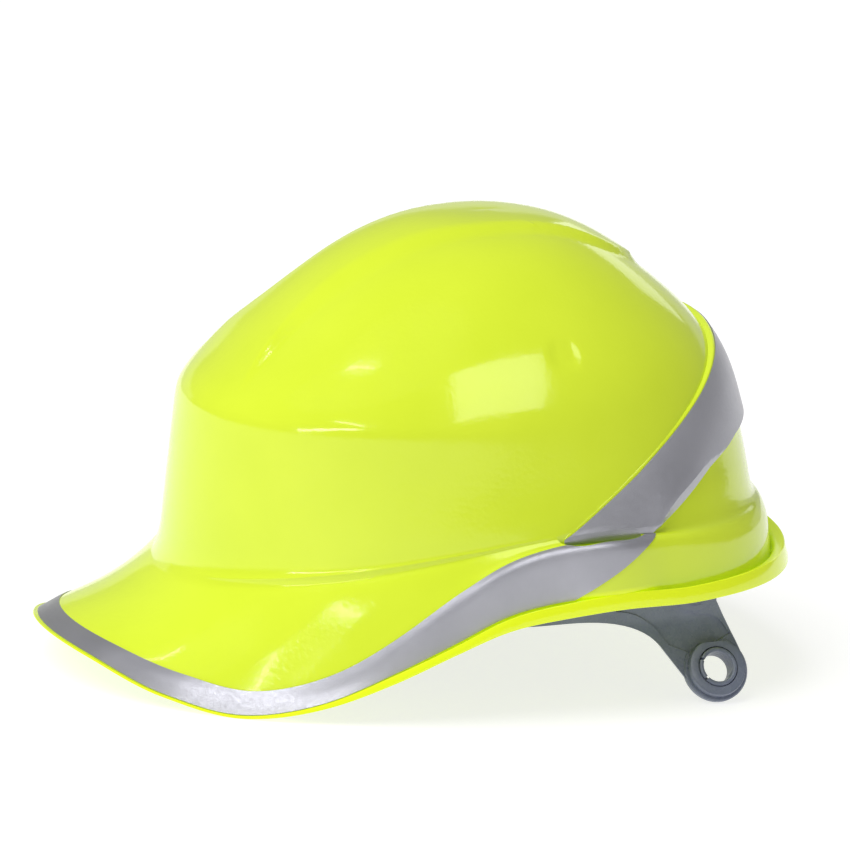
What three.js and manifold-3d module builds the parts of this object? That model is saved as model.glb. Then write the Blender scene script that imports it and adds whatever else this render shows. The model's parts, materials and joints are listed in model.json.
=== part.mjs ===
// A bump cap: a short-peaked, high-visibility safety cap. The moulded shell carries reflective tape, and
// holds a webbing cradle, a headband with flared side arms and a nape strap with a ratchet adjuster.
// Millimetres. The peak points along -Y, up is +Z and the wearer's left is +X. Everything is laid out
// with z = 0 at the underside of the shell's side rim, and the finished cap is then stood on the floor.
import * as THREE from "three";
import { mergeVertices } from "three/addons/utils/BufferGeometryUtils.js";
import Module from "manifold-3d";

const wasm = await Module();
wasm.setup();

// ---------------------------------------------------------------- driving dimensions
const AROUND = 48; // facets around the shell
const SHELL_THICKNESS = 2.5;
const FRONT_POWER = 2.04; // 2 is an ellipse in plan, and more is squarer
const PLAN_CENTRE_Y = 5; // the widest point of the shell, front to back
const APEX = new THREE.Vector3(0, PLAN_CENTRE_Y, 133);
const GAP = 0.3; // between touching pieces

const CREST = { halfWidth: 26, front: -98, rear: 64, height: 2.2 };
const SASH_HEIGHT = 2.4; // how far the rear sash stands proud of the shell
const SASH_START_Y = -4;
const TAPE_THICKNESS = 0.6;
const TAPE_GAP = 0.5;

const SLOT = { y: 20, length: 30, width: 5, inner: 104.3, top: 34, bottom: 5 };
// The skirt's bulge over a slot.
const SWELL = { reach: 3.4, halfLength: 25, startX: 103.2, wallFade: 4.5, rimZ: 2, rimFade: 6 };

const HEADBAND = { half: 82, front: -98, straightY: 5, thickness: 2.2, low: -11, high: 17 };
const FLARE = { start: -12, bend: 10, slope: Math.tan(Math.PI / 6) };
const EYELET = { y: 68, z: -33, plate: 13, plateThickness: 2.6, boss: 11.5, bossHeight: 2.7 };
const BUSH = { bore: 5.9, radius: 7.7, clearance: 0.3, flange: 9.5, flangeThickness: 1.1, stand: 0.7 };
const BUSH_SLIT = { width: 1.1, depth: 2, turn: Math.PI / 5 };
const PIVOT = { y: 62, z: -2, stud: 4, boss: 9, bossHeight: 1.4, clearance: 0.3 };
const STUD = { head: 6.4, headHeight: 1.8, reach: 8.5 };

const CLIP = { width: 23, depth: 5, height: 20, low: 28, wallGap: 2.2 };
const CLIP_MOUTH = { width: 20.2, thickness: 2.4, depth: 6.2 }; // where the strap's end sits
const CLIP_WINDOW = { size: 12, height: 5, above: 6 };
const CLIP_RIB = { gap: 1.6, width: 2, depth: 5.5, shorter: 4 };
const HANGER = { halfWidth: 7, inner: -0.3, outer: 1.6, foot: 8, bend: 15, belowClip: 4 };
const CLIP_ANGLES = [
  ["front", -90],
  ["front_left", -32],
  ["rear_left", 32],
  ["rear", 90],
  ["rear_right", 148],
  ["front_right", 212],
];
const STRAP = { width: 19, thickness: 1.1, top: 101, spacing: 1.5 };

// The nape strap is laid out lying flat, with its pivots on the X axis and the nape towards +Y,
// and is then swung up into the cap.
const STOWED_ANGLE = THREE.MathUtils.degToRad(135);
const NAPE = { pivotX: 77.5, reach: 58, straight: 47, thickness: 1.8, height: 18, eye: 10 };
const HOUSING = { half: 34, radius: 17, front: 55.6, back: 66, coverThickness: 2.4 };
// The racks' toothed bars lie above and below the pinion, which moves both straps inwards.
const RACK = { tip: 5, mouth: 34, teeth: 6, firstTooth: 1.7 };
const RACK_TOOTH = { root: 6.3, tip: 4.3, rootWidth: 1.9, tipWidth: 0.7 }; // heights over the pinion's axis
const PINION = { teeth: 10, pitchRadius: 5, root: 3.95, tip: 5.75, rootWidth: 1.7, tipWidth: 0.6, hub: 3.4 };
const NAPE_PAD = { half: 30, radius: 14, thickness: 6 };
const AXLE = { radius: 2, clearance: 0.3, head: 5.4, headRecess: 3 };
const KNOB = { radius: 21, start: 66.8, end: 80, face: 74.8, lobes: 16, lobeDepth: 0.9 };
const RATCHET = { teeth: 24, root: 17, tip: 15.8, rootWidth: 3.4, tipWidth: 1 }; // inside the knob
const SPRING = { disc: 9, thickness: 1.6, pawlWidth: 3, pawlReach: 15.3 };

const COLOUR = {
  shell: [0xdcf52a, 0.22, 0],
  tape: [0xb9b8bd, 0.4, 0.3],
  webbing: [0x2b2d31, 0.85, 0],
  slate: [0x5d6672, 0.45, 0],
  soft: [0x26282c, 0.9, 0],
  steel: [0xa8abb0, 0.3, 0.9],
};

// ---------------------------------------------------------------- the shell's surface
// Each control ring is an oval in plan, with its height given by keys of [angle, z], where the angle runs
// from -90 at the front through 0 at the side to 90 at the rear.
const ring = (front, half, rear, rearPower, heights) => ({ front, half, rear, rearPower, heights });
const SHELL_RINGS = [
  ring(-26, 30, 34, 2.0, [[-90, 133], [0, 132.5], [90, 131.5]]),
  ring(-58, 57, 58, 2.0, [[-90, 119.5], [0, 122], [90, 117.5]]),
  ring(-87, 79, 82, 2.0, [[-90, 97], [0, 103], [90, 98.5]]),
  ring(-109, 93, 96, 2.1, [[-90, 80], [0, 85], [90, 80]]),
  ring(-118, 97.5, 101.5, 2.1, [[-90, 71], [0, 70], [90, 62]]),
  ring(-121.5, 100.5, 106, 2.1, [[-90, 46], [0, 46], [90, 45]]),
  ring(-125, 102.5, 108, 2.15, [[-90, 17], [-40, 25], [0, 35], [90, 30]]),
  ring(-127, 103.5, 109, 2.2, [[-90, -0.5], [-40, 13], [-15, 23], [0, 27.5], [20, 27], [50, 24.5], [90, 24]]),
  ring(-146, 105.5, 111, 2.3, [
    [-90, -9], [-65, -10.5], [-45, -8], [-30, 3], [-15, 16], [-9, 22], [0, 27],
    [20, 26], [50, 23.5], [90, 23],
  ]),
  ring(-169, 108, 113, 2.3, [
    [-90, -14.3], [-70, -17], [-55, -23.5], [-42, -28.5], [-31, -21], [-22, -6.5], [-15, 7.8], [-9, 19],
    [0, 25.5], [20, 25], [37, 21.5], [90, 18],
  ]),
  ring(-171, 108.5, 113.5, 2.35, [
    [-90, -15], [-70, -18], [-55, -25.8], [-42, -31], [-31, -25], [-22, -12], [-15, 1.5], [-9, 13.5],
    [0, 21], [20, 21.5], [37, 18.5], [90, 15],
  ]),
  ring(-176, 109.5, 114.5, 2.4, [
    [-90, -16], [-70, -20], [-55, -29.6], [-42, -35], [-31, -29.3], [-22, -18.5], [-15, -9.5], [-9, -1.6],
    [0, 3], [20, 3], [55, 2], [90, 2.5],
  ]),
];
// The turned-up lip outside the rim: the gutter's floor, the lip's top and its foot.
const LIP_RINGS = [
  ring(-177, 110.5, 116, 2.4, [
    [-90, -16], [-70, -20], [-55, -29.6], [-42, -35], [-31, -29.5], [-22, -19], [-15, -10], [-9, -2],
    [0, 2.2], [20, 2], [55, 1], [90, 1],
  ]),
  ring(-177.4, 112.5, 119.6, 2.45, [
    [-90, -15], [-70, -19], [-55, -28.6], [-42, -33.6], [-31, -28], [-22, -17.5], [-15, -8], [-9, 0.8],
    [0, 6.2], [20, 6.2], [55, 5], [90, 5.5],
  ]),
  ring(-178, 113.5, 121.5, 2.45, [
    [-90, -17], [-70, -21.5], [-55, -31.3], [-42, -36.8], [-31, -31.8], [-22, -21.8], [-15, -12], [-9, -4.4],
    [0, 0], [20, -0.2], [55, -1.5], [90, -1.5],
  ]),
];

// A smooth curve through [x, y] keys, level at both ends.
function keyed(keys, x) {
  const last = keys.length - 1;
  const clamped = Math.min(Math.max(x, keys[0][0]), keys[last][0]);
  let i = 0;
  while (i < last - 1 && clamped >= keys[i + 1][0]) i++;
  const slope = (k) => {
    if (k === 0 || k === last) return 0;
    const [x0, y0] = keys[k - 1];
    const [x1, y1] = keys[k];
    const [x2, y2] = keys[k + 1];
    return (((y1 - y0) / (x1 - x0)) * (x2 - x1) + ((y2 - y1) / (x2 - x1)) * (x1 - x0)) / (x2 - x0);
  };
  const span = keys[i + 1][0] - keys[i][0];
  const s = (clamped - keys[i][0]) / span;
  const fromStart = (1 + 2 * s) * (1 - s) ** 2 * keys[i][1] + s * (1 - s) ** 2 * span * slope(i);
  const fromEnd = s * s * (3 - 2 * s) * keys[i + 1][1] - s * s * (1 - s) * span * slope(i + 1);
  return fromStart + fromEnd;
}

const signedPower = (value, power) => Math.sign(value) * Math.abs(value) ** power;

function ringPoint({ front, half, rear, rearPower, heights }, angle) {
  const c = Math.cos(angle);
  const s = Math.sin(angle);
  const reach = s < 0 ? PLAN_CENTRE_Y - front : rear - PLAN_CENTRE_Y;
  const power = s < 0 ? FRONT_POWER : rearPower;
  const x = half * signedPower(c, 2 / power);
  const y = PLAN_CENTRE_Y + reach * signedPower(s, 2 / power);
  const fromSide = THREE.MathUtils.radToDeg(Math.asin(Math.min(Math.max(s, -1), 1)));
  return new THREE.Vector3(x, y, keyed(heights, fromSide));
}

// The rings, with a mirrored ring before the apex and the last ring repeated, as B-spline control points.
function controlPoint(index, angle) {
  if (index === 0) return ringPoint(SHELL_RINGS[0], angle + Math.PI);
  if (index === 1) return APEX;
  return ringPoint(SHELL_RINGS[Math.min(index - 2, SHELL_RINGS.length - 1)], angle);
}
const RIM_T = SHELL_RINGS.length + 1; // the spline parameter at the rim; it is 0 at the apex

function shellPoint(angle, t) {
  const i = Math.min(Math.floor(t), RIM_T - 1);
  const s = t - i;
  const weights = [
    (1 - s) ** 3 / 6,
    (3 * s ** 3 - 6 * s ** 2 + 4) / 6,
    (-3 * s ** 3 + 3 * s ** 2 + 3 * s + 1) / 6,
    s ** 3 / 6,
  ];
  const point = new THREE.Vector3();
  weights.forEach((weight, k) => point.addScaledVector(controlPoint(i + k, angle), weight));
  point.x += Math.sign(point.x) * swell(point);
  return point;
}

const smooth = (value) => THREE.MathUtils.smoothstep(value, 0, 1);

// How far the skirt bulges over an accessory slot: a hump along the side that fades in from the wall and
// from the rim.
function swell({ x, y, z }) {
  const along = Math.min(Math.abs(y - SLOT.y) / SWELL.halfLength, 1);
  const hump = (1 - along ** 2) ** 2;
  const fromWall = smooth((Math.abs(x) - SWELL.startX) / SWELL.wallFade);
  const fromRim = smooth((z - SWELL.rimZ) / SWELL.rimFade);
  return SWELL.reach * hump * fromWall * fromRim;
}

function shellNormal(angle, t) {
  const step = 0.01;
  // Off the apex, where the rings shrink to a point.
  const middle = Math.min(Math.max(t, 5 * step), RIM_T - step);
  const along = shellPoint(angle, middle + step).sub(shellPoint(angle, middle - step));
  const around = shellPoint(angle + step, middle).sub(shellPoint(angle - step, middle));
  return around.cross(along).negate().normalize();
}

// A row of points all round the shell, moved off its surface by an offset that may vary with the point.
const ANGLES = Array.from({ length: AROUND }, (_, k) => -Math.PI / 2 + (k * 2 * Math.PI) / AROUND);
function shellRow(t, offset) {
  return ANGLES.map((angle) => {
    const point = shellPoint(angle, t);
    const distance = typeof offset === "function" ? offset(point) : offset;
    return point.addScaledVector(shellNormal(angle, t), distance);
  });
}
const lipRow = (lip) => ANGLES.map((angle) => ringPoint(lip, angle));
const ROW_PARAMETERS = [0, 1.4, 2.5, 3.5, 4.4, 5.2, 6.4, 7.8, 8.8, 9.4, 10, 10.8, 11.9, RIM_T];

// ---------------------------------------------------------------- closed solids
const flatten = (points) => points.flatMap((p) => [p.x, p.y, p.z]);

function geometryOf(points, triangles) {
  const geometry = new THREE.BufferGeometry();
  geometry.setAttribute("position", new THREE.Float32BufferAttribute(flatten(points), 3));
  geometry.setIndex(triangles);
  return geometry;
}

// A closed surface through rows of points that go round, whose first and last rows are single points.
function bowl(rows) {
  const count = rows[1].length;
  const inner = rows.slice(1, -1);
  const points = [rows[0][0], ...inner.flat(), rows.at(-1)[0]];
  const triangles = [];
  const at = (row, k) => 1 + row * count + (k % count);
  for (let k = 0; k < count; k++) {
    triangles.push(0, at(0, k), at(0, k + 1));
    for (let row = 0; row < inner.length - 1; row++) {
      triangles.push(at(row, k), at(row + 1, k), at(row + 1, k + 1));
      triangles.push(at(row, k), at(row + 1, k + 1), at(row, k + 1));
    }
    triangles.push(points.length - 1, at(inner.length - 1, k + 1), at(inner.length - 1, k));
  }
  return geometryOf(points, triangles);
}

// A closed slab between two grids of points of the same size, grid[i][j]. With loop, i goes round.
function slab(front, back, loop = false) {
  const rows = front.length;
  const columns = front[0].length;
  const points = [...front.flat(), ...back.flat()];
  const f = (i, j) => (i % rows) * columns + j;
  const b = (i, j) => rows * columns + f(i, j);
  const triangles = [];
  const quad = (p, q, r, s) => triangles.push(p, q, r, p, r, s);
  for (let i = 0; i < (loop ? rows : rows - 1); i++) {
    for (let j = 0; j < columns - 1; j++) {
      quad(f(i, j), f(i, j + 1), f(i + 1, j + 1), f(i + 1, j));
      quad(b(i, j), b(i + 1, j), b(i + 1, j + 1), b(i, j + 1));
    }
    quad(f(i, 0), f(i + 1, 0), b(i + 1, 0), b(i, 0));
    const j = columns - 1;
    quad(f(i, j), b(i, j), b(i + 1, j), f(i + 1, j));
  }
  for (let j = 0; !loop && j < columns - 1; j++) {
    quad(f(0, j), b(0, j), b(0, j + 1), f(0, j + 1));
    quad(f(rows - 1, j), f(rows - 1, j + 1), b(rows - 1, j + 1), b(rows - 1, j));
  }
  return geometryOf(points, triangles);
}

function extrude(outline, depth, curveSegments = 8) {
  const shape = outline instanceof THREE.Shape ? outline : new THREE.Shape(outline);
  return new THREE.ExtrudeGeometry(shape, { depth, bevelEnabled: false, curveSegments });
}
const points2 = (pairs) => pairs.map(([x, y]) => new THREE.Vector2(x, y));
const X = new THREE.Vector3(1, 0, 0);
const Y = new THREE.Vector3(0, 1, 0);
const Z = new THREE.Vector3(0, 0, 1);

// An outline in (y, z), extruded along X.
function prismX(outline, from, to) {
  const turn = new THREE.Matrix4().makeBasis(Y, Z, X);
  return extrude(outline, to - from).applyMatrix4(turn).translate(from, 0, 0);
}
// An outline in (x, z), extruded along Y.
function prismY(outline, from, to) {
  const turn = new THREE.Matrix4().makeBasis(X, Z, Y.clone().negate());
  return extrude(outline, to - from).applyMatrix4(turn).translate(0, to, 0);
}
const box = (x, y, z, dx, dy, dz) => new THREE.BoxGeometry(dx, dy, dz).translate(x, y, z);
function rodX(x0, x1, y, z, radius, facets = 20) {
  return new THREE.CylinderGeometry(radius, radius, x1 - x0, facets)
    .rotateZ(-Math.PI / 2)
    .translate((x0 + x1) / 2, y, z);
}
const rodY = (y0, y1, radius, facets = 24) =>
  new THREE.CylinderGeometry(radius, radius, y1 - y0, facets).translate(0, (y0 + y1) / 2, 0);

// ---------------------------------------------------------------- booleans
// A closed mesh as a solid. Grids may run either way round, so its faces are turned to point out.
function solid(geometry) {
  const bare = geometry.clone();
  bare.deleteAttribute("normal");
  bare.deleteAttribute("uv");
  const merged = mergeVertices(bare, 1e-4);
  const vertProperties = new Float32Array(merged.attributes.position.array);
  const triVerts = new Uint32Array(merged.index.array);
  const made = new wasm.Manifold(new wasm.Mesh({ numProp: 3, vertProperties, triVerts }));
  if (made.volume() > 0) return made;
  return new wasm.Manifold(new wasm.Mesh({ numProp: 3, vertProperties, triVerts: triVerts.reverse() }));
}
function surface(manifold) {
  const { vertProperties, triVerts } = manifold.getMesh();
  const geometry = new THREE.BufferGeometry();
  geometry.setAttribute("position", new THREE.BufferAttribute(new Float32Array(vertProperties), 3));
  geometry.setIndex(new THREE.BufferAttribute(new Uint32Array(triVerts), 1));
  return geometry;
}
const joined = (first, ...others) => others.reduce((whole, part) => whole.add(part), first);
const cut = (first, ...others) => others.reduce((whole, part) => whole.subtract(part), first);
const mirrored = (manifold) => manifold.mirror([1, 0, 0]);

// ---------------------------------------------------------------- the shell
// The skin between two offsets from the shell's surface, as a closed bowl.
function skin(low, high) {
  const outside = ROW_PARAMETERS.map((t) => shellRow(t, high));
  const inside = ROW_PARAMETERS.map((t) => shellRow(t, low)).reverse();
  return solid(bowl([...outside, ...inside]));
}

// The sash in side view: between its straight upper edge and its curved lower edge, past the rear.
const sashTop = (y) => 27.5 + 0.72 * y;
const SASH_LOWER_EDGE = [
  [-20, -8], [4, 6], [21, 16], [37, 26], [52.5, 35.7], [67, 45], [83, 51.6], [100, 55], [140, 60],
];
function sashOutline(inset) {
  const lower = SASH_LOWER_EDGE.map(([y, z]) => [y, z + inset]);
  return points2([...lower, [140, sashTop(140) - inset], [-20, sashTop(-20) - inset]]);
}
const sashRise = (point) => SASH_HEIGHT * smooth((point.y - SASH_START_Y) / 60);

function crestPatch() {
  const { halfWidth, front, rear, height } = CREST;
  const plan = new THREE.Shape();
  plan.absarc(0, rear - halfWidth, halfWidth, 0, Math.PI);
  plan.lineTo(-halfWidth, front);
  plan.lineTo(halfWidth, front);
  return skin(-1, height).intersect(solid(extrude(plan, 200)));
}

function sashPatch() {
  const side = solid(prismX(sashOutline(0), -160, 160)).subtract(solid(box(0, -60, 0, 400, 110, 400)));
  const above = solid(box(0, 0, 131, 400, 400, 206));
  return skin(-1, (point) => sashRise(point) + 0.01).intersect(side).intersect(above);
}

// The wall plan inside the shell at clip height, moved in by an inset.
function wallPoint(degrees, inset) {
  const angle = THREE.MathUtils.degToRad(degrees);
  const wall = SHELL_RINGS[5];
  const reach = SHELL_THICKNESS + inset;
  const plan = { ...wall, half: wall.half - reach, front: wall.front + reach, rear: wall.rear - reach };
  return ringPoint(plan, angle).setZ(0);
}
const wallTangent = (degrees) => wallPoint(degrees + 2, 0).sub(wallPoint(degrees - 2, 0)).normalize();
// Turns a piece that was built at the origin, facing +X, to its place on the wall.
function atWall(geometry, degrees, inset) {
  const place = wallPoint(degrees, inset);
  const tangent = wallTangent(degrees);
  return geometry.rotateZ(Math.atan2(tangent.y, tangent.x) - Math.PI / 2).translate(place.x, place.y, 0);
}

// Two ribs inside the wall that guide a clip.
function clipRibs(degrees) {
  const offset = CLIP.width / 2 + CLIP_RIB.gap;
  const height = CLIP.height - CLIP_RIB.shorter;
  const centre = CLIP.low + CLIP.height / 2;
  const inWall = 1.2; // the rib's middle stands this far inside the wall's plan
  const shape = (side) => box(-inWall, side * offset, centre, CLIP_RIB.depth, CLIP_RIB.width, height);
  const rib = (side) => solid(atWall(shape(side), degrees, 0));
  return rib(1).add(rib(-1));
}

// The space that an accessory's plug slides down into, with room to spare round it.
function slotSpace(side, room) {
  const { y, length, width, inner, top, bottom } = SLOT;
  const middle = (top + bottom) / 2;
  return solid(box(side * (inner + width / 2), y, middle, width + room, length + room, top - bottom + room));
}

function makeShell() {
  const outerRows = ROW_PARAMETERS.map((t) => shellRow(t, 0));
  const lipRows = LIP_RINGS.map(lipRow);
  const innerRows = ROW_PARAMETERS.map((t) => shellRow(t, -SHELL_THICKNESS)).reverse();
  const foot = lipRows.at(-1);
  innerRows[0].forEach((point, k) => point.setZ(Math.min(point.z, foot[k].z + 0.2)));
  const inside = ROW_PARAMETERS.map((t) => shellRow(t, -SHELL_THICKNESS + 0.6));
  const filled = solid(bowl([...outerRows, ...lipRows, foot.map(() => new THREE.Vector3(0, 0, -60))]));
  let shell = solid(bowl([...outerRows, ...lipRows, ...innerRows]));
  shell = joined(shell, crestPatch(), sashPatch());
  for (const side of [1, -1]) {
    const pocket = solid(box(side * (SLOT.inner + 1), SLOT.y, SLOT.bottom + 10, 14, SLOT.length + 6, 26));
    shell = shell.add(pocket.intersect(filled)).subtract(slotSpace(side, 0));
  }
  CLIP_ANGLES.forEach(([, degrees]) => {
    shell = shell.add(clipRibs(degrees).intersect(solid(bowl([...inside, [new THREE.Vector3(0, 0, 0)]]))));
  });
  return shell;
}

// ---------------------------------------------------------------- reflective tape
// How far down the surface the tape's inner edge lies, by angle from the front.
const TAPE_EDGE = [[-90, 10.15], [-45, 10.2], [-37, 10.15], [-23, 9.95], [-15, 9.75], [40, 9.7]];
const TAPE_END = 11.5; // just short of the gutter
function edgeBand(fromDegrees, toDegrees) {
  const steps = 28;
  const reach = 9;
  const depth = 3;
  const upper = [];
  const lower = [];
  for (let k = 0; k <= steps; k++) {
    const degrees = THREE.MathUtils.lerp(fromDegrees, toDegrees, k / steps);
    const angle = THREE.MathUtils.degToRad(degrees);
    const t = keyed(TAPE_EDGE, Math.abs(degrees + 90) - 90);
    const edge = shellPoint(angle, t);
    const edgeNormal = shellNormal(angle, t);
    const rim = shellPoint(angle, TAPE_END);
    const rimNormal = shellNormal(angle, TAPE_END);
    const pair = (distance) => [
      edge.clone().addScaledVector(edgeNormal, distance),
      rim.clone().addScaledVector(rimNormal, distance),
    ];
    upper.push(pair(reach));
    lower.push(pair(-depth));
  }
  return solid(slab(lower, upper));
}

const LEFT_TAPE = [-58, 12]; // degrees from the side
function makeTapes() {
  const rise = (extra) => (point) => sashRise(point) + extra;
  const flat = skin(TAPE_GAP, TAPE_GAP + TAPE_THICKNESS);
  const proud = skin(rise(TAPE_GAP), rise(TAPE_GAP + TAPE_THICKNESS));
  const belowSash = solid(prismX(points2([...SASH_LOWER_EDGE, [140, -80], [-20, -80]]), -160, 160));
  const belowLedge = solid(box(0, 0, -74.4, 400, 400, 200));
  const offSlots = (tape) => cut(tape, slotSpace(1, 1), slotSpace(-1, 1));
  const left = flat.intersect(edgeBand(...LEFT_TAPE)).intersect(belowLedge).subtract(belowSash);
  const front = flat.intersect(edgeBand(-121.5, -58.5));
  const aboveLedge = solid(box(0, 110, 135, 400, 216, 210));
  const rear = proud.intersect(solid(prismX(sashOutline(0.8), -160, 160))).intersect(aboveLedge);
  return { front, left: offSlots(left), rear: offSlots(rear) };
}

// ---------------------------------------------------------------- the cradle
// A strap in the upright plane at an angle, from clip to clip over the crown.
function crownStrap(degrees, layer) {
  const inset = CLIP.wallGap + CLIP.depth / 2;
  const ends = [wallPoint(degrees, inset), wallPoint(degrees + 180, inset)];
  const low = CLIP.low + CLIP.height - 5;
  const rise = STRAP.top - low + layer * STRAP.spacing;
  const chord = ends[0].clone().sub(ends[1]).normalize();
  const overCrown = new THREE.Vector3(-chord.y, chord.x, 0);
  const crown = new THREE.Vector3(0, PLAN_CENTRE_Y, 0);
  const steps = 20;
  const outer = [];
  const inner = [];
  for (let k = 0; k <= steps; k++) {
    const turn = Math.PI * (k / steps);
    const end = k <= steps / 2 ? ends[0] : ends[1];
    const alongWall = k <= steps / 2 ? wallTangent(degrees) : wallTangent(degrees + 180).negate();
    const across = alongWall.lerp(overCrown, Math.sin(turn)).setLength(STRAP.width / 2);
    const out = end.clone().sub(crown);
    const place = crown.clone().addScaledVector(out, Math.abs(Math.cos(turn)) ** 0.9);
    place.z = low + rise * Math.sin(turn) ** 0.9;
    const level = out.normalize().multiplyScalar(Math.abs(Math.cos(turn)));
    const normal = new THREE.Vector3(level.x, level.y, Math.sin(turn)).normalize();
    const inside = place.clone().addScaledVector(normal, -STRAP.thickness / 2);
    const outside = place.clone().addScaledVector(normal, STRAP.thickness / 2);
    outer.push([outside.clone().sub(across), outside.clone().add(across)]);
    inner.push([inside.clone().sub(across), inside.clone().add(across)]);
  }
  return solid(slab(inner, outer));
}

// A clip that hooks into the shell and holds the end of a strap in the slot in its top.
function anchorClip(degrees) {
  const centre = CLIP.low + CLIP.height / 2;
  const body = box(0, 0, centre, CLIP.depth, CLIP.width, CLIP.height);
  const top = CLIP.low + CLIP.height;
  const { width, thickness, depth } = CLIP_MOUTH;
  const { size, height, above } = CLIP_WINDOW;
  const mouth = box(0, 0, top, thickness, width, 2 * depth);
  const window = box(0, 0, CLIP.low + above, size, size, height);
  const place = (geometry) => solid(atWall(geometry, degrees, CLIP.wallGap + CLIP.depth / 2));
  return cut(place(body), place(mouth), place(window));
}

// ---------------------------------------------------------------- the headband
// The plan of the headband: half an oval round the forehead, then straight back along the temples.
function bandPath(inset, rearEnd) {
  const { half, front, straightY } = HEADBAND;
  const path = [];
  const steps = 18;
  for (let k = 0; k <= steps; k++) {
    const angle = -Math.PI + (k * Math.PI) / steps;
    const x = (half - inset) * Math.cos(angle);
    const y = straightY + (straightY - front - inset) * Math.sin(angle);
    path.push(new THREE.Vector3(x, y, 0));
  }
  const out = (x) => new THREE.Vector3(x * (half - inset), rearEnd, 0);
  return [out(-1), ...path, out(1)];
}
// How far the arms lean out below the rim: a bend, then a straight slope.
function flare(z) {
  const down = Math.max(FLARE.start - z, 0);
  const bent = Math.min(down, FLARE.bend);
  return (FLARE.slope * bent * bent) / (2 * FLARE.bend) + FLARE.slope * (down - bent);
}
function bandSlab(inset, thickness, heights, rearEnd) {
  const path = bandPath(inset, rearEnd);
  const inner = bandPath(inset + thickness, rearEnd);
  const row = (points, index) => {
    const direction = path[index].clone().sub(inner[index]).normalize();
    return heights.map((z) => points[index].clone().addScaledVector(direction, flare(z)).setZ(z));
  };
  return solid(slab(path.map((_, k) => row(path, k)), path.map((_, k) => row(inner, k))));
}

// Where an arm's eyelet sits: on the flared plate, facing out and up.
const eyeletTilt = Math.atan(FLARE.slope);
const eyeletX = HEADBAND.half - HEADBAND.thickness / 2 + flare(EYELET.z);
const atEyelet = (geometry) => geometry.rotateY(-eyeletTilt).translate(eyeletX, EYELET.y, EYELET.z);

function headbandOutline() {
  const { low, high, front } = HEADBAND;
  const outline = new THREE.Shape();
  outline.moveTo(front - 20, low);
  outline.lineTo(10, low);
  outline.quadraticCurveTo(38, low, 47, -23);
  outline.lineTo(EYELET.y - 11.5, EYELET.z - 4);
  outline.lineTo(EYELET.y + 12.2, EYELET.z + 2);
  outline.lineTo(EYELET.y + 10.5, -24);
  outline.lineTo(PIVOT.y + 9.5, -8);
  outline.absarc(PIVOT.y, PIVOT.z, 10, 0, Math.PI / 2.6);
  outline.quadraticCurveTo(58, high, 48, high);
  outline.lineTo(front - 20, high);
  return outline;
}

// A tab from the headband's top edge up to just under a clip.
function hanger(degrees) {
  const path = bandPath(HEADBAND.thickness / 2, 80);
  const top = wallPoint(degrees, CLIP.wallGap + CLIP.depth / 2);
  const direction = Math.atan2(top.y - PLAN_CENTRE_Y, top.x);
  const nearest = (best, point) => {
    const turn = Math.abs(Math.atan2(point.y - PLAN_CENTRE_Y, point.x) - direction);
    return turn < best.turn ? { turn, point } : best;
  };
  const quarters = [0, 0.25, 0.5, 0.75];
  const dense = path.slice(1).flatMap((p, k) => quarters.map((s) => path[k].clone().lerp(p, s)));
  const foot = dense.reduce(nearest, { turn: Infinity }).point;
  const out = new THREE.Vector3(Math.cos(direction), Math.sin(direction), 0);
  const across = new THREE.Vector3(-out.y, out.x, 0).multiplyScalar(HANGER.halfWidth);
  const levels = [HANGER.foot, HANGER.bend].map((z) => foot.clone().setZ(z));
  levels.push(...[CLIP.low - HANGER.belowClip, CLIP.low - GAP].map((z) => top.clone().setZ(z)));
  const grid = (side) =>
    levels.map((p) => [-1, 1].map((s) => p.clone().addScaledVector(across, s).addScaledVector(out, side)));
  return solid(slab(grid(HANGER.inner), grid(HANGER.outer)));
}

function makeHeadband() {
  const { half } = HEADBAND;
  const heights = [20, -12, -15, -18, -22, -48];
  const wall = bandSlab(0, HEADBAND.thickness, heights, 86);
  let band = wall.intersect(solid(prismX(headbandOutline(), -130, 130)));
  const halfPlate = EYELET.plateThickness / 2;
  for (const side of [1, -1]) {
    const face = (manifold) => (side > 0 ? manifold : mirrored(manifold));
    const plate = solid(atEyelet(rodX(-halfPlate, halfPlate, 0, 0, EYELET.plate, 24)));
    const boss = solid(atEyelet(rodX(0, halfPlate + EYELET.bossHeight, 0, 0, EYELET.boss, 24)));
    const bore = solid(atEyelet(rodX(-8, 12, 0, 0, BUSH.radius + BUSH.clearance, 24)));
    const atPivot = (from, to, radius) => solid(rodX(half + from, half + to, PIVOT.y, PIVOT.z, radius));
    const pivotBoss = atPivot(-1, PIVOT.bossHeight, PIVOT.boss);
    const pivotBore = atPivot(-9, 9, PIVOT.stud + PIVOT.clearance);
    band = joined(band, face(plate), face(boss), face(pivotBoss));
    band = cut(band, face(bore), face(pivotBore));
  }
  CLIP_ANGLES.filter(([name]) => name.includes("_")).forEach(([, degrees]) => {
    band = band.add(hanger(degrees > 180 ? degrees - 360 : degrees));
  });
  return band;
}

// The soft band round the forehead, inside the headband.
function makeSweatband() {
  const pad = bandSlab(HEADBAND.thickness + 0.7, 4, [HEADBAND.high - 1, 10, 0, HEADBAND.low + 2], 20);
  return pad.intersect(solid(box(0, -80, 0, 300, 100, 100)));
}

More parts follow.
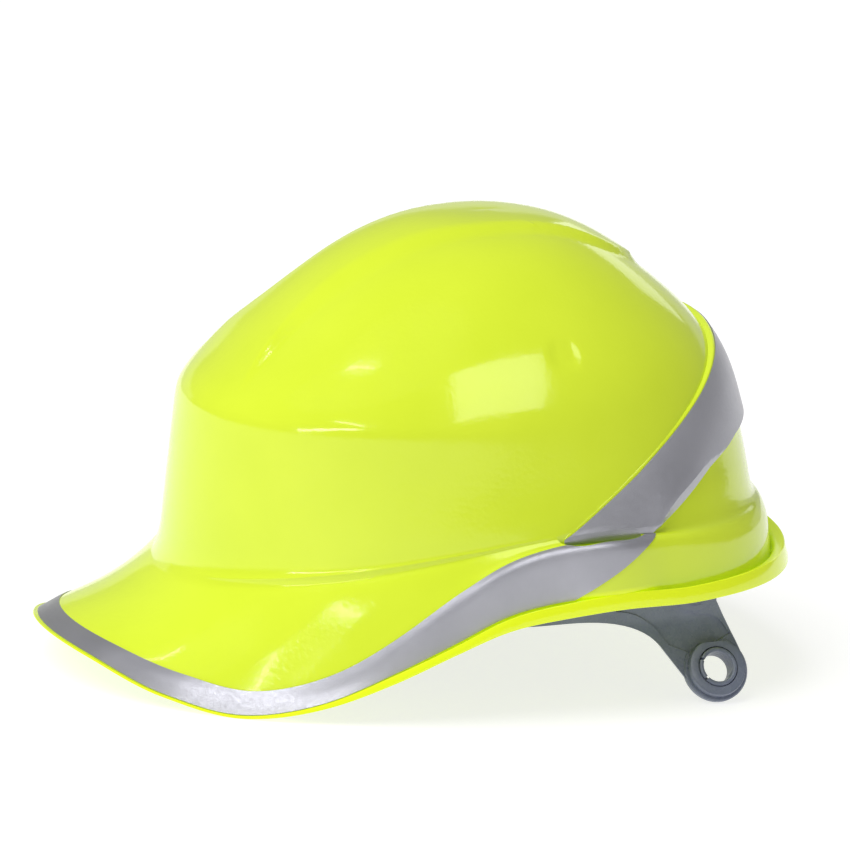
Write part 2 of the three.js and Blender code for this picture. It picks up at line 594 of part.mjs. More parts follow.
// A hollow snap bush in the eyelet, slit across its rim so that it can be squeezed in.
function makeBush() {
  const { bore, radius, flange, flangeThickness } = BUSH;
  const back = -EYELET.plateThickness / 2 - GAP;
  const front = EYELET.plateThickness / 2 + EYELET.bossHeight + BUSH.stand;
  const outline = points2([
    [bore, back - flangeThickness],
    [flange, back - flangeThickness],
    [flange, back],
    [radius, back],
    [radius, front - 0.6],
    [radius - 0.6, front],
    [bore + 0.5, front],
    [bore, front - 0.5],
    [bore, back - flangeThickness],
  ]);
  const sleeve = new THREE.LatheGeometry(outline, 24).rotateZ(-Math.PI / 2);
  const { width, depth, turn } = BUSH_SLIT;
  const slit = box(front, 0, 0, 2 * depth, 2 * radius + 2, width).rotateX(turn);
  return cut(solid(atEyelet(sleeve)), solid(atEyelet(slit)));
}

// The stud that the nape strap swings on.
function makeStud() {
  const face = HEADBAND.half + PIVOT.bossHeight + GAP;
  const head = rodX(face, face + STUD.headHeight, PIVOT.y, PIVOT.z, STUD.head);
  const shank = rodX(HEADBAND.half - STUD.reach, face + 0.5, PIVOT.y, PIVOT.z, PIVOT.stud);
  return solid(head).add(solid(shank));
}

// ---------------------------------------------------------------- the nape strap and its ratchet
const toothPitch = (2 * Math.PI * PINION.pitchRadius) / PINION.teeth;

// The left strap: an eye on the pivot, a curve round the head and a rack in the housing.
function makeNapeStrap() {
  const { pivotX, reach, straight, thickness, height } = NAPE;
  const steps = 9;
  const outer = [];
  const inner = [];
  const place = (k, inset) => {
    const turn = (k / steps) * (Math.PI / 2);
    const x = straight + (pivotX - inset - straight) * Math.cos(turn);
    const y = (reach - inset) * Math.sin(turn);
    return new THREE.Vector3(x, y, 0);
  };
  for (let k = 0; k <= steps; k++) {
    const edge = [height / 2, -height / 2];
    outer.push(edge.map((z) => place(k, 0).setZ(z)));
    inner.push(edge.map((z) => place(k, thickness).setZ(z)));
  }
  const mouth = RACK.mouth;
  outer.push([height / 2, -height / 2].map((z) => new THREE.Vector3(mouth, reach, z)));
  inner.push([height / 2, -height / 2].map((z) => new THREE.Vector3(mouth, reach - thickness, z)));
  const curve = solid(slab(inner, outer));
  const eye = solid(rodX(pivotX - thickness - 0.4, pivotX, 0, 0, NAPE.eye));
  const hole = solid(rodX(pivotX - 20, pivotX + 20, 0, 0, PIVOT.stud + PIVOT.clearance));
  const rack = solid(prismY(rackOutline(), reach - thickness, reach));
  const slots = Array.from({ length: 5 }, (_, k) => rodX(0, 40, 22 + 6 * k, 0, 1.6, 8));
  const vents = slots.map((rod) => solid(rod.translate(46, 0, 0)));
  return cut(joined(curve, eye, rack), hole, ...vents);
}

// The rack in (x, z): a bar above the pinion whose teeth point down.
function rackOutline() {
  const { tip, mouth, teeth, firstTooth } = RACK;
  const tooth = RACK_TOOTH;
  const top = NAPE.height / 2;
  const outline = [[mouth + 1, top], [-tip, top], [-tip, tooth.root]];
  for (let k = 0; k < teeth; k++) {
    const centre = -tip + firstTooth + k * toothPitch;
    outline.push([centre - tooth.rootWidth / 2, tooth.root], [centre - tooth.tipWidth / 2, tooth.tip]);
    outline.push([centre + tooth.tipWidth / 2, tooth.tip], [centre + tooth.rootWidth / 2, tooth.root]);
  }
  outline.push([mouth - 6, tooth.root], [mouth - 4, 0], [mouth - 4, -top], [mouth + 1, -top]);
  return points2(outline.reverse());
}

// A toothed wheel's outline. With the tip radius under the root radius, the teeth point inwards.
function gearOutline({ teeth, root, tip, rootWidth, tipWidth }, phase = 0) {
  const outline = [];
  for (let k = 0; k < teeth; k++) {
    const centre = phase + (k * 2 * Math.PI) / teeth;
    const flank = [[root, rootWidth / 2 / root], [tip, tipWidth / 2 / tip]];
    const corners = [...flank.map(([radius, turn]) => [radius, -turn]), ...flank.reverse()];
    corners.forEach(([radius, turn]) => {
      outline.push(new THREE.Vector2(radius * Math.cos(centre + turn), radius * Math.sin(centre + turn)));
    });
  }
  return outline;
}

const axleHole = () => solid(rodY(50, 90, AXLE.radius + AXLE.clearance));
const hubHole = () => solid(rodY(50, 90, PINION.hub + 0.5));

function makePinion() {
  // A gap of the pinion faces each rack tooth that stands over its centre line.
  const rackPhase = ((-RACK.tip + RACK.firstTooth) / toothPitch) % 1;
  const phase = Math.PI / 2 + (0.5 - rackPhase) * ((2 * Math.PI) / PINION.teeth);
  const rackMiddle = NAPE.reach - NAPE.thickness / 2;
  const gear = solid(prismY(gearOutline(PINION, phase), rackMiddle - 0.7, rackMiddle + 0.7));
  const hub = solid(rodY(rackMiddle, KNOB.face - GAP, PINION.hub));
  return cut(joined(gear, hub), axleHole());
}

function stadium(half, radius) {
  const outline = new THREE.Shape();
  outline.absarc(half - radius, 0, radius, -Math.PI / 2, Math.PI / 2);
  outline.absarc(-(half - radius), 0, radius, Math.PI / 2, (3 * Math.PI) / 2);
  return outline;
}

function makeHousing() {
  const { half, radius, front, back } = HOUSING;
  const body = solid(prismY(stadium(half, radius), front, back));
  const channelBack = NAPE.reach + GAP;
  const channelDepth = NAPE.thickness + 2 * GAP + 3; // open at the front, under the cover
  const channel = solid(box(0, channelBack - channelDepth / 2, 0, 90, channelDepth, NAPE.height + 0.8));
  return cut(body, channel, hubHole());
}

function makeHousingCover() {
  const { half, radius, front, coverThickness } = HOUSING;
  return solid(prismY(stadium(half - 1, radius - 1), front - GAP - coverThickness, front - GAP));
}

function makeKnob() {
  const points = KNOB.lobes * 4;
  const lobed = Array.from({ length: points }, (_, k) => {
    const turn = (k * 2 * Math.PI) / points;
    const radius = KNOB.radius - KNOB.lobeDepth * (1 - Math.cos(turn * KNOB.lobes)) * 0.5;
    return new THREE.Vector2(radius * Math.cos(turn), radius * Math.sin(turn));
  });
  const body = solid(prismY(lobed, KNOB.start, KNOB.end));
  const ratchet = solid(prismY(gearOutline(RATCHET), KNOB.start - 5, KNOB.face));
  const recess = solid(rodY(KNOB.end - AXLE.headRecess, KNOB.end + 5, AXLE.head + 0.8));
  return cut(body, ratchet, axleHole(), recess);
}

// A flat spring on the housing whose two pawls click past the knob's inner teeth.
function makeDetentSpring() {
  const { disc, thickness, pawlWidth, pawlReach } = SPRING;
  const base = HOUSING.back + GAP;
  const plate = solid(rodY(base, base + thickness, disc));
  const pawls = solid(box(0, base + thickness / 2, 0, 2 * pawlReach, thickness, pawlWidth));
  return cut(joined(plate, pawls), hubHole());
}

function makeAxle() {
  const end = KNOB.end - 1.2;
  const pin = solid(rodY(HOUSING.front + GAP, end, AXLE.radius));
  const head = solid(rodY(KNOB.end - AXLE.headRecess + GAP, end, AXLE.head));
  return pin.add(head);
}

function makeNapePad() {
  const { half, radius, thickness } = NAPE_PAD;
  const back = HOUSING.front - HOUSING.coverThickness - 2 * GAP;
  return solid(prismY(stadium(half, radius), back - thickness, back));
}

// ---------------------------------------------------------------- assembly
const bumpCap = new THREE.Group();
const laidOut = new THREE.Group();
const nape = new THREE.Group();
nape.position.set(0, PIVOT.y, PIVOT.z);
nape.rotation.x = STOWED_ANGLE;
bumpCap.add(laidOut);
laidOut.add(nape);

function add(name, manifold, [color, roughness, metalness], parent = laidOut) {
  const material = new THREE.MeshStandardMaterial({ color, roughness, metalness });
  const mesh = new THREE.Mesh(surface(manifold), material);
  mesh.name = name;
  parent.add(mesh);
}

function addShellAndTape() {
  add("shell", makeShell(), COLOUR.shell);
  const tapes = makeTapes();
  add("tape_peak", tapes.front, COLOUR.tape);
  add("tape_left", tapes.left, COLOUR.tape);
  add("tape_right", mirrored(tapes.left), COLOUR.tape);
  add("tape_rear", tapes.rear, COLOUR.tape);
}

function addCradle() {
  add("crown_strap_lengthwise", crownStrap(90, 0), COLOUR.webbing);
  add("crown_strap_left_rear", crownStrap(32, 1), COLOUR.webbing);
  add("crown_strap_right_rear", crownStrap(148, 2), COLOUR.webbing);
  CLIP_ANGLES.forEach(([name, degrees]) => add(`anchor_clip_${name}`, anchorClip(degrees), COLOUR.slate));
}

function addHeadband() {
  add("headband", makeHeadband(), COLOUR.slate);
  add("sweatband", makeSweatband(), COLOUR.soft);
  add("eyelet_bush_left", makeBush(), COLOUR.slate);
  add("eyelet_bush_right", mirrored(makeBush()), COLOUR.slate);
  add("pivot_stud_left", makeStud(), COLOUR.slate);
  add("pivot_stud_right", mirrored(makeStud()), COLOUR.slate);
}

function addNapeStrap() {
  add("nape_strap_left", makeNapeStrap(), COLOUR.slate, nape);
  add("nape_strap_right", makeNapeStrap().rotate([0, 180, 0]), COLOUR.slate, nape);
  add("ratchet_housing", makeHousing(), COLOUR.slate, nape);
  add("housing_cover", makeHousingCover(), COLOUR.slate, nape);
  add("nape_pad", makeNapePad(), COLOUR.soft, nape);
  add("detent_spring", makeDetentSpring(), COLOUR.steel, nape);
  add("drive_pinion", makePinion(), COLOUR.slate, nape);
  add("ratchet_knob", makeKnob(), COLOUR.slate, nape);
  add("ratchet_axle", makeAxle(), COLOUR.steel, nape);
}

// Stands the cap on the two low corners of its peak and the two eyelets, centred over the origin.
function standOnFloor() {
  const foot = lipRow(LIP_RINGS.at(-1));
  const corner = foot.reduce((lowest, point) => (point.z < lowest.z ? point : lowest));
  const halfPlate = EYELET.plateThickness / 2;
  const eyeletLow = EYELET.z - EYELET.plate * Math.cos(eyeletTilt) - halfPlate * Math.sin(eyeletTilt);
  laidOut.rotation.x = Math.atan2(corner.z - eyeletLow, EYELET.y - corner.y);
  bumpCap.updateMatrixWorld(true);
  const bounds = new THREE.Box3().setFromObject(bumpCap, true);
  const centre = bounds.getCenter(new THREE.Vector3());
  laidOut.position.set(0, -centre.y, -bounds.min.z);
}

addShellAndTape();
addCradle();
addHeadband();
addNapeStrap();
standOnFloor();

export default bumpCap;
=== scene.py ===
"""A bump cap: a glossy fluorescent shell with reflective tape, over a webbing cradle and a headband whose
nape strap is tightened by a ratchet knob.

Pieces are laid out in millimetres in the cap's own layout, where the peak points along -Y, the wearer's
left is +X and z is 0 at the underside of the shell's side rim, and are then put in the frame by a matrix.
The nape strap is laid out flat, with its pivots on the X axis and the nape towards +Y.
"""

import json
import math

import bmesh
import bpy
import numpy as np
from mathutils import Matrix, Vector


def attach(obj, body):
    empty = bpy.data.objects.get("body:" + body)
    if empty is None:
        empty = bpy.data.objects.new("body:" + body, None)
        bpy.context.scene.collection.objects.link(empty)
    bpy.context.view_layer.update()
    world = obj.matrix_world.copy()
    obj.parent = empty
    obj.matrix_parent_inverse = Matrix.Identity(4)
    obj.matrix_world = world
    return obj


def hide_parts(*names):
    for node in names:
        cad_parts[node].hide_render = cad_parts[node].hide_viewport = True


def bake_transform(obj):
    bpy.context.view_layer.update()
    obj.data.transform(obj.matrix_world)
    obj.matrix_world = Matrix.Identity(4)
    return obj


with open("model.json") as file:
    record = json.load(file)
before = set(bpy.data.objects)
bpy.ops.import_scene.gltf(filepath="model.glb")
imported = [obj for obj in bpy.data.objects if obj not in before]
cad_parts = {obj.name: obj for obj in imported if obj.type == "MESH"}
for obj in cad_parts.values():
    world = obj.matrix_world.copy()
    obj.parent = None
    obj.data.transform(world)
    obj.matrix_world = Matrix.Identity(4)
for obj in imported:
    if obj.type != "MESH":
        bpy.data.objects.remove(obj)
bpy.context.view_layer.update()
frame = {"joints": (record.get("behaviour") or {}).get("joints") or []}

# ---------------------------------------------------------------- driving dimensions, in millimetres
SHELL_THICKNESS = 2.5
FRONT_POWER = 2.04  # 2 is an ellipse in plan, and more is squarer
PLAN_CENTRE_Y = 5
APEX = (0, PLAN_CENTRE_Y, 133)
CREST = {"height": 2.2, "rear": 64, "radius": 26, "front": -107, "fade": 18}
CREST_BEVEL = [[-100, 5], [-60, 14], [-30, 12], [10, 4]]  # how wide the crest's slope is, by y
CREST_WIDTH = [[-107, 33], [-92, 28], [-78, 23], [-40, 23], [-4, 26], [40, 26]]  # half width by y
# The surface has levels t, from 0 at the apex, and each ring of control points adds one.
# The sash ends at a ledge over the slots. Below foot_t it hangs straight down, by hang for each level.
SASH = {"ledge": 25, "foot_t": 7.9, "hang": 4}
# How far the sash stands out along its top edge and over the fold near its lower edge, by y.
SASH_TOP_RISE = [[10, 0], [40, 0.5], [70, 1.7], [92, 2.4]]
SASH_LOW_RISE = [[-6, 0], [8, 0.7], [25, 1.5], [45, 2.4], [60, 2.4]]
SASH_BORDER = 0.9  # how far down from its top edge the flat of the sash starts
SASH_LOWER_EDGE = [
    [-20, -8], [4, 6], [21, 16], [37, 26], [52.5, 35.7], [67, 45], [83, 51.6], [100, 55], [140, 60],
]
SASH_FACET = [[34, 1.2], [48, 6.5], [58, 6], [76, 1.2]]  # width of the folded facet by y
# Creases along a level t, with heights by angle from the front. The one over the peak sinks in.
SHOULDER = {"t": 5, "width": 0.36, "round": 0.16, "height": [[0, 1.1], [70, 0.8], [105, 0]]}
PEAK_CREASE = {
    "t": 8, "width": 0.26, "round": 0.03,
    "height": [[0, -0.6], [35, -0.9], [60, -1.3], [80, -0.6], [92, 0]],
}
PEAK_BEAD = {
    "t": 7.8, "width": 0.05, "round": 0.01,
    "height": [[10, 0], [30, 0.35], [72, 0.35], [90, 0]],
}
DIMPLE = {"centre": (85.2, 7.1, 94.6), "radius": 5.6, "depth": 0.55, "edge": 1.6}
SWELL = {"reach": 3.4, "halfLength": 25, "startX": 103.2, "wallFade": 4.5, "rimZ": 2, "rimFade": 6, "y": 20}
SLOT = {"y": 15.5, "half": 17.5, "inner": 103.2, "width": 6.1, "top": 40, "bottom": 5}
POCKET = {"in": 6, "out": 7, "ends": 2, "low": 2, "high": 27}
# The edge tape's upper and lower borders as levels of the surface, by angle from the side.
TAPE_EDGE = [[-90, 10.15], [-45, 10.2], [-37, 10.15], [-23, 9.95], [-15, 9.6], [-4, 9.2], [40, 9.2]]
TAPE_FOOT = [[-90, 12.95], [-60, 12.95], [-40, 12.6], [-20, 12.2], [0, 12]]
TAPE = {"lift": 0.06, "thickness": 0.3, "reach": 128}
TAPE_INSET = [[50, 0.75], [75, 1.0], [100, 1.8]]  # the tape's distance from the sash's top edge, by y

HEADBAND = {"half": 82, "front": -98, "straightY": 5, "thickness": 2.2, "low": -12, "high": 17, "rearEnd": 86}
FLARE = {"start": -12, "bend": 10, "slope": math.tan(math.pi / 6)}
EYELET = {"y": 68, "z": -33, "plate": 13, "plateThickness": 2.6, "boss": 11.5, "bossHeight": 2.7}
BUSH = {"bore": 5.9, "radius": 7.7, "flange": 9.5, "flangeThickness": 1.1}
PIVOT = {"y": 62, "z": -2, "stud": 4, "boss": 9, "bossHeight": 1.4}
CLIP = {"width": 23, "depth": 5, "height": 20, "low": 28, "wallGap": 2.2}
STRAP = {"width": 19, "thickness": 1.1, "top": 101, "spacing": 1.5, "power": 0.9}
# The webbing's ribs: how high they are, how they repeat, and where the thinner selvedge starts.
WEAVE = {"height": 0.09, "along": 2.6, "across": 9, "selvedge": 0.86, "thinner": 0.22, "inset": 0.12}
NAPE = {"pivotX": 77.5, "reach": 58, "straight": 47, "thickness": 1.8, "height": 18, "eye": 10}
HOUSING = {"half": 34, "radius": 17, "front": 55.6, "back": 66, "cover": 2.4}
KNOB = {"radius": 21, "start": 66.8, "end": 80, "lobes": 16, "lobeDepth": 0.9}
PAD = {"half": 30, "radius": 14, "thickness": 6}
RACK = {"tip": 5, "mouth": 34, "teeth": 6, "firstTooth": 1.7}
RACK_TOOTH = {"root": 6.3, "tip": 4.3, "rootWidth": 1.9, "tipWidth": 0.7}
PINION = {
    "teeth": 10, "pitchRadius": 5, "root": 3.95, "tip": 5.75, "rootWidth": 1.7, "tipWidth": 0.6, "hub": 3.4,
}
RATCHET = {"teeth": 24, "root": 17, "tip": 15.8, "rootWidth": 3.4, "tipWidth": 1}
SPRING = {"disc": 9, "thickness": 1.6, "pawlWidth": 3, "pawlReach": 15.3}
AXLE = {"radius": 2, "head": 5.4, "headRecess": 3}
KNOB_FACE = 74.8
VENT = {"count": 5, "first": 22, "spacing": 6, "radius": 1.6}
GRIP = {"x": 27, "spacing": 2, "half": 0.5, "halfHeight": 7}
GAP = 0.3
THROUGH = 130  # further than any piece reaches, for cutters that go right through

# Where the clips sit on the shell's wall, in degrees round from the cap's left towards the rear.
CLIPS = {"front": -90, "front_left": -32, "rear_left": 32, "rear": 90, "rear_right": 148, "front_right": 212}

COLUMNS = 420  # points round the shell


# ---------------------------------------------------------------- the layout's place in the frame
def joint(name):
    return next(j for j in frame["joints"] if j["name"] == name)


STOWED = math.radians(135)  # how far the nape strap is swung up into the cap at rest
MM = 0.001
knob_axis = Vector(joint("knob_turn")["axis"])
PITCH = math.atan2(-knob_axis.z, -knob_axis.y) - STOWED
pivot_laid_out = Vector((0, PIVOT["y"], PIVOT["z"])) * MM
TURN = Matrix.Rotation(PITCH, 4, "X")
OFFSET = Vector(joint("yoke_swing")["pos_m"]) - TURN @ pivot_laid_out
LAYOUT = Matrix.Translation(OFFSET) @ TURN @ Matrix.Scale(MM, 4)
NAPE_LAYOUT = (
    LAYOUT @ Matrix.Translation((0, PIVOT["y"], PIVOT["z"])) @ Matrix.Rotation(STOWED, 4, "X")
)


# ---------------------------------------------------------------- the shell's surface
def ring(front, half, rear, rear_power, heights, angles=(-90, 0, 90)):
    """An oval in plan. Its heights are at angles from -90 at the front through 0 at the side to 90."""
    heights = list(zip(angles, heights))
    return {"front": front, "half": half, "rear": rear, "power": rear_power, "heights": heights}


EDGE_ANGLES = (-90, -70, -55, -42, -31, -22, -15, -9, 0, 20, 37, 90)
RIM_ANGLES = (-90, -70, -55, -42, -31, -22, -15, -9, 0, 20, 55, 90)
SHELL_RINGS = [
    ring(-26, 30, 34, 2.0, (133, 132.5, 131.5)),
    ring(-58, 57, 58, 2.0, (119.5, 122, 117.5)),
    ring(-87, 79, 82, 2.0, (97, 103, 98.5)),
    ring(-109, 93, 96, 2.1, (80, 85, 80)),
    ring(-118, 97.5, 101.5, 2.1, (71, 70, 62)),
    ring(-121.5, 100.5, 106, 2.1, (46, 46, 45)),
    ring(-125, 102.5, 108, 2.15, (17, 25, 35, 30), (-90, -40, 0, 90)),
    ring(-127, 103.5, 109, 2.2, (-0.5, 13, 23, 27.5, 27, 24.5, 24), (-90, -40, -15, 0, 20, 50, 90)),
    ring(
        -146, 105.5, 111, 2.3, (-9, -10.5, -8, 3, 16, 22, 27, 26, 23.5, 23),
        (-90, -65, -45, -30, -15, -9, 0, 20, 50, 90),
    ),
    ring(
        -169, 108, 113, 2.3, (-14.5, -17.3, -23.9, -28.9, -21.3, -6.5, 7.8, 19, 25.5, 25, 21.5, 18),
        EDGE_ANGLES,
    ),
    ring(
        -171, 108.5, 113.5, 2.35, (-15.6, -18.7, -26.6, -31.8, -25.7, -12, 1.5, 13.5, 21, 21.5, 18.5, 15),
        EDGE_ANGLES,
    ),
    ring(
        -176, 109.5, 114.5, 2.4, (-17, -21.2, -30.9, -36.2, -30.4, -19.2, -9.7, -1.6, 3, 3, 2, 2.5),
        RIM_ANGLES,
    ),
]
# The turned-up lip outside the rim: the gutter's floor, the lip's top and its foot.
LIP_RINGS = [
    ring(
        -177, 110.5, 116, 2.4, (-17, -21.2, -30.9, -36.3, -30.6, -19.7, -10.2, -2, 4.6, 5.2, 4.5, 5),
        RIM_ANGLES,
    ),
    ring(
        -177.4, 112.5, 119.6, 2.45, (-16.6, -20.8, -30.4, -35.6, -29.6, -18.3, -8.2, 0.8, 6.2, 6.4, 5.8, 6.4),
        RIM_ANGLES,
    ),
    ring(
        -178, 113.5, 121.5, 2.45, (-17, -21.5, -31.3, -36.8, -31.8, -21.8, -12, -4.4, 0, -0.2, -1.5, -1.5),
        RIM_ANGLES,
    ),
]
RIM_T = len(SHELL_RINGS) + 1  # the surface's parameter is 0 at the apex and this at the rim


def keyed(keys, x):
    """A smooth curve through [x, y] keys, level at both ends."""
    at, value = np.array(keys, float).T
    span = np.diff(at)
    step = np.diff(value) / span
    slope = np.zeros(len(at))
    slope[1:-1] = (step[:-1] * span[1:] + step[1:] * span[:-1]) / (at[2:] - at[:-2])
    x = np.clip(x, at[0], at[-1])
    i = np.clip(np.searchsorted(at, x, side="right") - 1, 0, len(span) - 1)
    s = (x - at[i]) / span[i]
    from_start = (1 + 2 * s) * (1 - s) ** 2 * value[i] + s * (1 - s) ** 2 * span[i] * slope[i]
    from_end = s * s * (3 - 2 * s) * value[i + 1] - s * s * (1 - s) * span[i] * slope[i + 1]
    return from_start + from_end


def smooth(value):
    v = np.clip(value, 0, 1)
    return v * v * (3 - 2 * v)


def unit(vectors):
    return vectors / np.linalg.norm(vectors, axis=-1, keepdims=True)


def ring_points(oval, angle):
    c, s = np.cos(angle), np.sin(angle)
    front = s < 0
    reach = np.where(front, PLAN_CENTRE_Y - oval["front"], oval["rear"] - PLAN_CENTRE_Y)
    power = np.where(front, FRONT_POWER, oval["power"])
    x = oval["half"] * np.sign(c) * np.abs(c) ** (2 / power)
    y = PLAN_CENTRE_Y + reach * np.sign(s) * np.abs(s) ** (2 / power)
    z = keyed(oval["heights"], np.degrees(np.arcsin(np.clip(s, -1, 1))))
    return np.stack([x, y, z], -1)


def swell(p):
    """How far the skirt bulges over an accessory slot."""
    along = np.minimum(np.abs(p[..., 1] - SWELL["y"]) / SWELL["halfLength"], 1)
    from_wall = smooth((np.abs(p[..., 0]) - SWELL["startX"]) / SWELL["wallFade"])
    from_rim = smooth((p[..., 2] - SWELL["rimZ"]) / SWELL["rimFade"])
    return SWELL["reach"] * (1 - along**2) ** 2 * from_wall * from_rim


def surface(angle, t):
    """Points on the plain shell: angle is one per column, and t has a row for each row of points."""
    t = np.broadcast_to(t, np.broadcast_shapes(np.shape(t), (1, len(angle)))).astype(float)
    rings = [ring_points(r, angle) for r in SHELL_RINGS]
    apex = np.broadcast_to(np.array(APEX, float), rings[0].shape)
    opposite = ring_points(SHELL_RINGS[0], angle + np.pi)
    control = np.stack([opposite, apex, *rings, rings[-1], rings[-1]])
    i = np.clip(np.floor(t), 0, RIM_T - 1).astype(int)
    s = t - i
    weights = [
        (1 - s) ** 3 / 6,
        (3 * s**3 - 6 * s**2 + 4) / 6,
        (-3 * s**3 + 3 * s**2 + 3 * s + 1) / 6,
        s**3 / 6,
    ]
    column = np.broadcast_to(np.arange(len(angle)), t.shape)
    points = sum(w[..., None] * control[i + k, column] for k, w in enumerate(weights))
    points[..., 0] += np.sign(points[..., 0]) * swell(points)
    return points


def normals(angle, t):
    step = 0.01
    t = np.clip(t, 5 * step, RIM_T - step)
    along = surface(angle, t + step) - surface(angle, t - step)
    around = surface(angle + step, t) - surface(angle - step, t)
    return unit(-np.cross(around, along))


def sash_top(y):
    """The straight upper edge of the sash in side view."""
    return 27.5 + 0.72 * y


def sash_low(y):
    return np.interp(y, *np.array(SASH_LOWER_EDGE, float).T)


def crest_rise(p):
    """How far the raised centre crest stands out, with a round tail at the rear."""
    x, y = np.abs(p[..., 0]), p[..., 1]
    tail_start = CREST["rear"] - CREST["radius"]
    beside = x - keyed(CREST_WIDTH, y)
    behind = np.hypot(x, y - tail_start) - CREST["radius"]
    outside = np.where(y > tail_start, behind, beside)
    edge = smooth(0.5 - outside / keyed(CREST_BEVEL, y))
    return CREST["height"] * edge * smooth((y - CREST["front"]) / CREST["fade"])


def dimple_depth(p):
    """The shallow round dimple on each side."""
    x, y, z = DIMPLE["centre"]
    across = np.linalg.norm(np.stack([np.abs(p[..., 0]) - x, p[..., 1] - y, p[..., 2] - z]), axis=0)
    return DIMPLE["depth"] * smooth((DIMPLE["radius"] - across) / DIMPLE["edge"] + 0.5)


def from_front(angle):
    """Degrees from the front of the cap, on either side."""
    return np.degrees(np.abs((angle + np.pi / 2 + np.pi) % (2 * np.pi) - np.pi))


def crease(shape, angle, t):
    """A ridge or valley along one level of the surface, a little rounded along its line."""
    away = np.hypot(t - shape["t"], shape["round"]) - shape["round"]
    return keyed(shape["height"], from_front(angle)) * np.exp(-away / shape["width"])


def relief(p, angle, t):
    creases = sum(crease(shape, angle, t) for shape in (SHOULDER, PEAK_CREASE, PEAK_BEAD))
    return crest_rise(p) + creases - dimple_depth(p)


def skin(angle, t, lift=0.0):
    """The finished outside of the shell, moved off by lift."""
    p = surface(angle, t)
    return p + normals(angle, t) * (relief(p, angle, t) + lift)[..., None]


# ---------------------------------------------------------------- making meshes
def new_object(name, points, faces, matrix=LAYOUT):
    mesh = bpy.data.meshes.new(name)
    mesh.from_pydata(np.asarray(points, float).reshape(-1, 3).tolist(), [], faces)
    mesh.transform(matrix)
    mesh.validate()
    made = bpy.data.objects.new(name, mesh)
    bpy.context.scene.collection.objects.link(made)
    return made


def outward(obj):
    """Turns a closed mesh's faces to point out."""
    bm = bmesh.new()
    bm.from_mesh(obj.data)
    bmesh.ops.recalc_face_normals(bm, faces=bm.faces)
    bm.to_mesh(obj.data)
    bm.free()
    return obj


def grid_faces(rows, columns, loop=False, start=0):
    """Quads between rows of points. With loop, the last column joins the first."""
    i, j = np.meshgrid(np.arange(rows - 1), np.arange(columns if loop else columns - 1), indexing="ij")
    k = (j + 1) % columns
    corners = [i * columns + j, i * columns + k, (i + 1) * columns + k, (i + 1) * columns + j]
    return (np.stack(corners, -1).reshape(-1, 4) + start).tolist()


def slab(name, front, back, matrix=LAYOUT):
    """A closed sheet between two grids of points of the same size, [row, column]."""
    rows, columns = front.shape[:2]
    count = rows * columns
    points = np.concatenate([front.reshape(-1, 3), back.reshape(-1, 3)])
    faces = grid_faces(rows, columns)
    faces += [f[::-1] for f in grid_faces(rows, columns, start=count)]
    around = list(range(columns))
    around += [i * columns + columns - 1 for i in range(1, rows)]
    around += [(rows - 1) * columns + j for j in range(columns - 2, -1, -1)]
    around += [i * columns for i in range(rows - 2, 0, -1)]
    faces += [[b, a, a + count, b + count] for a, b in zip(around, around[1:] + around[:1])]
    return outward(new_object(name, points, faces, matrix))


def capped(name, rows, first, last, matrix=LAYOUT):
    """A closed mesh of looped rows, drawn together to a point at each end."""
    columns = len(rows[0])
    points = np.concatenate([[first], *rows, [last]])
    faces = grid_faces(len(rows), columns, loop=True, start=1)
    end = len(points) - 1
    for j in range(columns):
        k = (j + 1) % columns
        faces.append([0, 1 + k, 1 + j])
        faces.append([end, end - columns + j, end - columns + k])
    return outward(new_object(name, points, faces, matrix))


def vertex_points(obj):
    points = np.empty(len(obj.data.vertices) * 3)
    obj.data.vertices.foreach_get("co", points)
    return points.reshape(-1, 3)


def apply_modifier(obj, kind, **settings):
    modifier = obj.modifiers.new(kind.lower(), kind)
    for key, value in settings.items():
        setattr(modifier, key, value)
    bpy.context.view_layer.objects.active = obj
    bpy.ops.object.modifier_apply(modifier=modifier.name)
    return obj


def boolean(obj, other, operation):
    apply_modifier(obj, "BOOLEAN", operation=operation, object=other, solver="MANIFOLD")
    bpy.data.objects.remove(other)
    return obj


def shade(obj, degrees):
    """Smooth shading, with edges sharper than an angle left crisp."""
    obj.data.polygons.foreach_set("use_smooth", [True] * len(obj.data.polygons))
    obj.data.set_sharp_from_angle(angle=math.radians(degrees))
    return obj


def bevel(obj, width, segments=2):
    """Rounds every edge that turns by more than 50 degrees."""
    return apply_modifier(
        obj, "BEVEL", width=width * MM, segments=segments, limit_method="ANGLE",
        angle_limit=math.radians(50), harden_normals=False,
    )


def prism(name, outline, low, high, axis="y", matrix=LAYOUT):
    """A closed outline pushed along an axis. Its points are (y, z), (x, z) or (x, y) along x, y or z."""
    count = len(outline)
    place = {
        "x": lambda u, v, w: (w, u, v),
        "y": lambda u, v, w: (u, w, v),
        "z": lambda u, v, w: (u, v, w),
    }[axis]
    points = [place(u, v, w) for w in (low, high) for u, v in outline]
    faces = [list(range(count)), list(range(count, 2 * count))]
    faces += [[k, (k + 1) % count, (k + 1) % count + count, k + count] for k in range(count)]
    return outward(new_object(name, points, faces, matrix))


def circle(radius, count=64, centre=(0, 0), start=0.0, end=2 * math.pi):
    full = end - start >= 2 * math.pi - 1e-9
    steps = count if full else count + 1
    angles = [start + (end - start) * k / count for k in range(steps)]
    return [(centre[0] + radius * math.cos(a), centre[1] + radius * math.sin(a)) for a in angles]


def stadium(half, radius):
    """An outline with round ends, 2 * half wide."""
    right = circle(radius, 24, (half - radius, 0), -math.pi / 2, math.pi / 2)
    left = circle(radius, 24, (radius - half, 0), math.pi / 2, 3 * math.pi / 2)
    return right + left


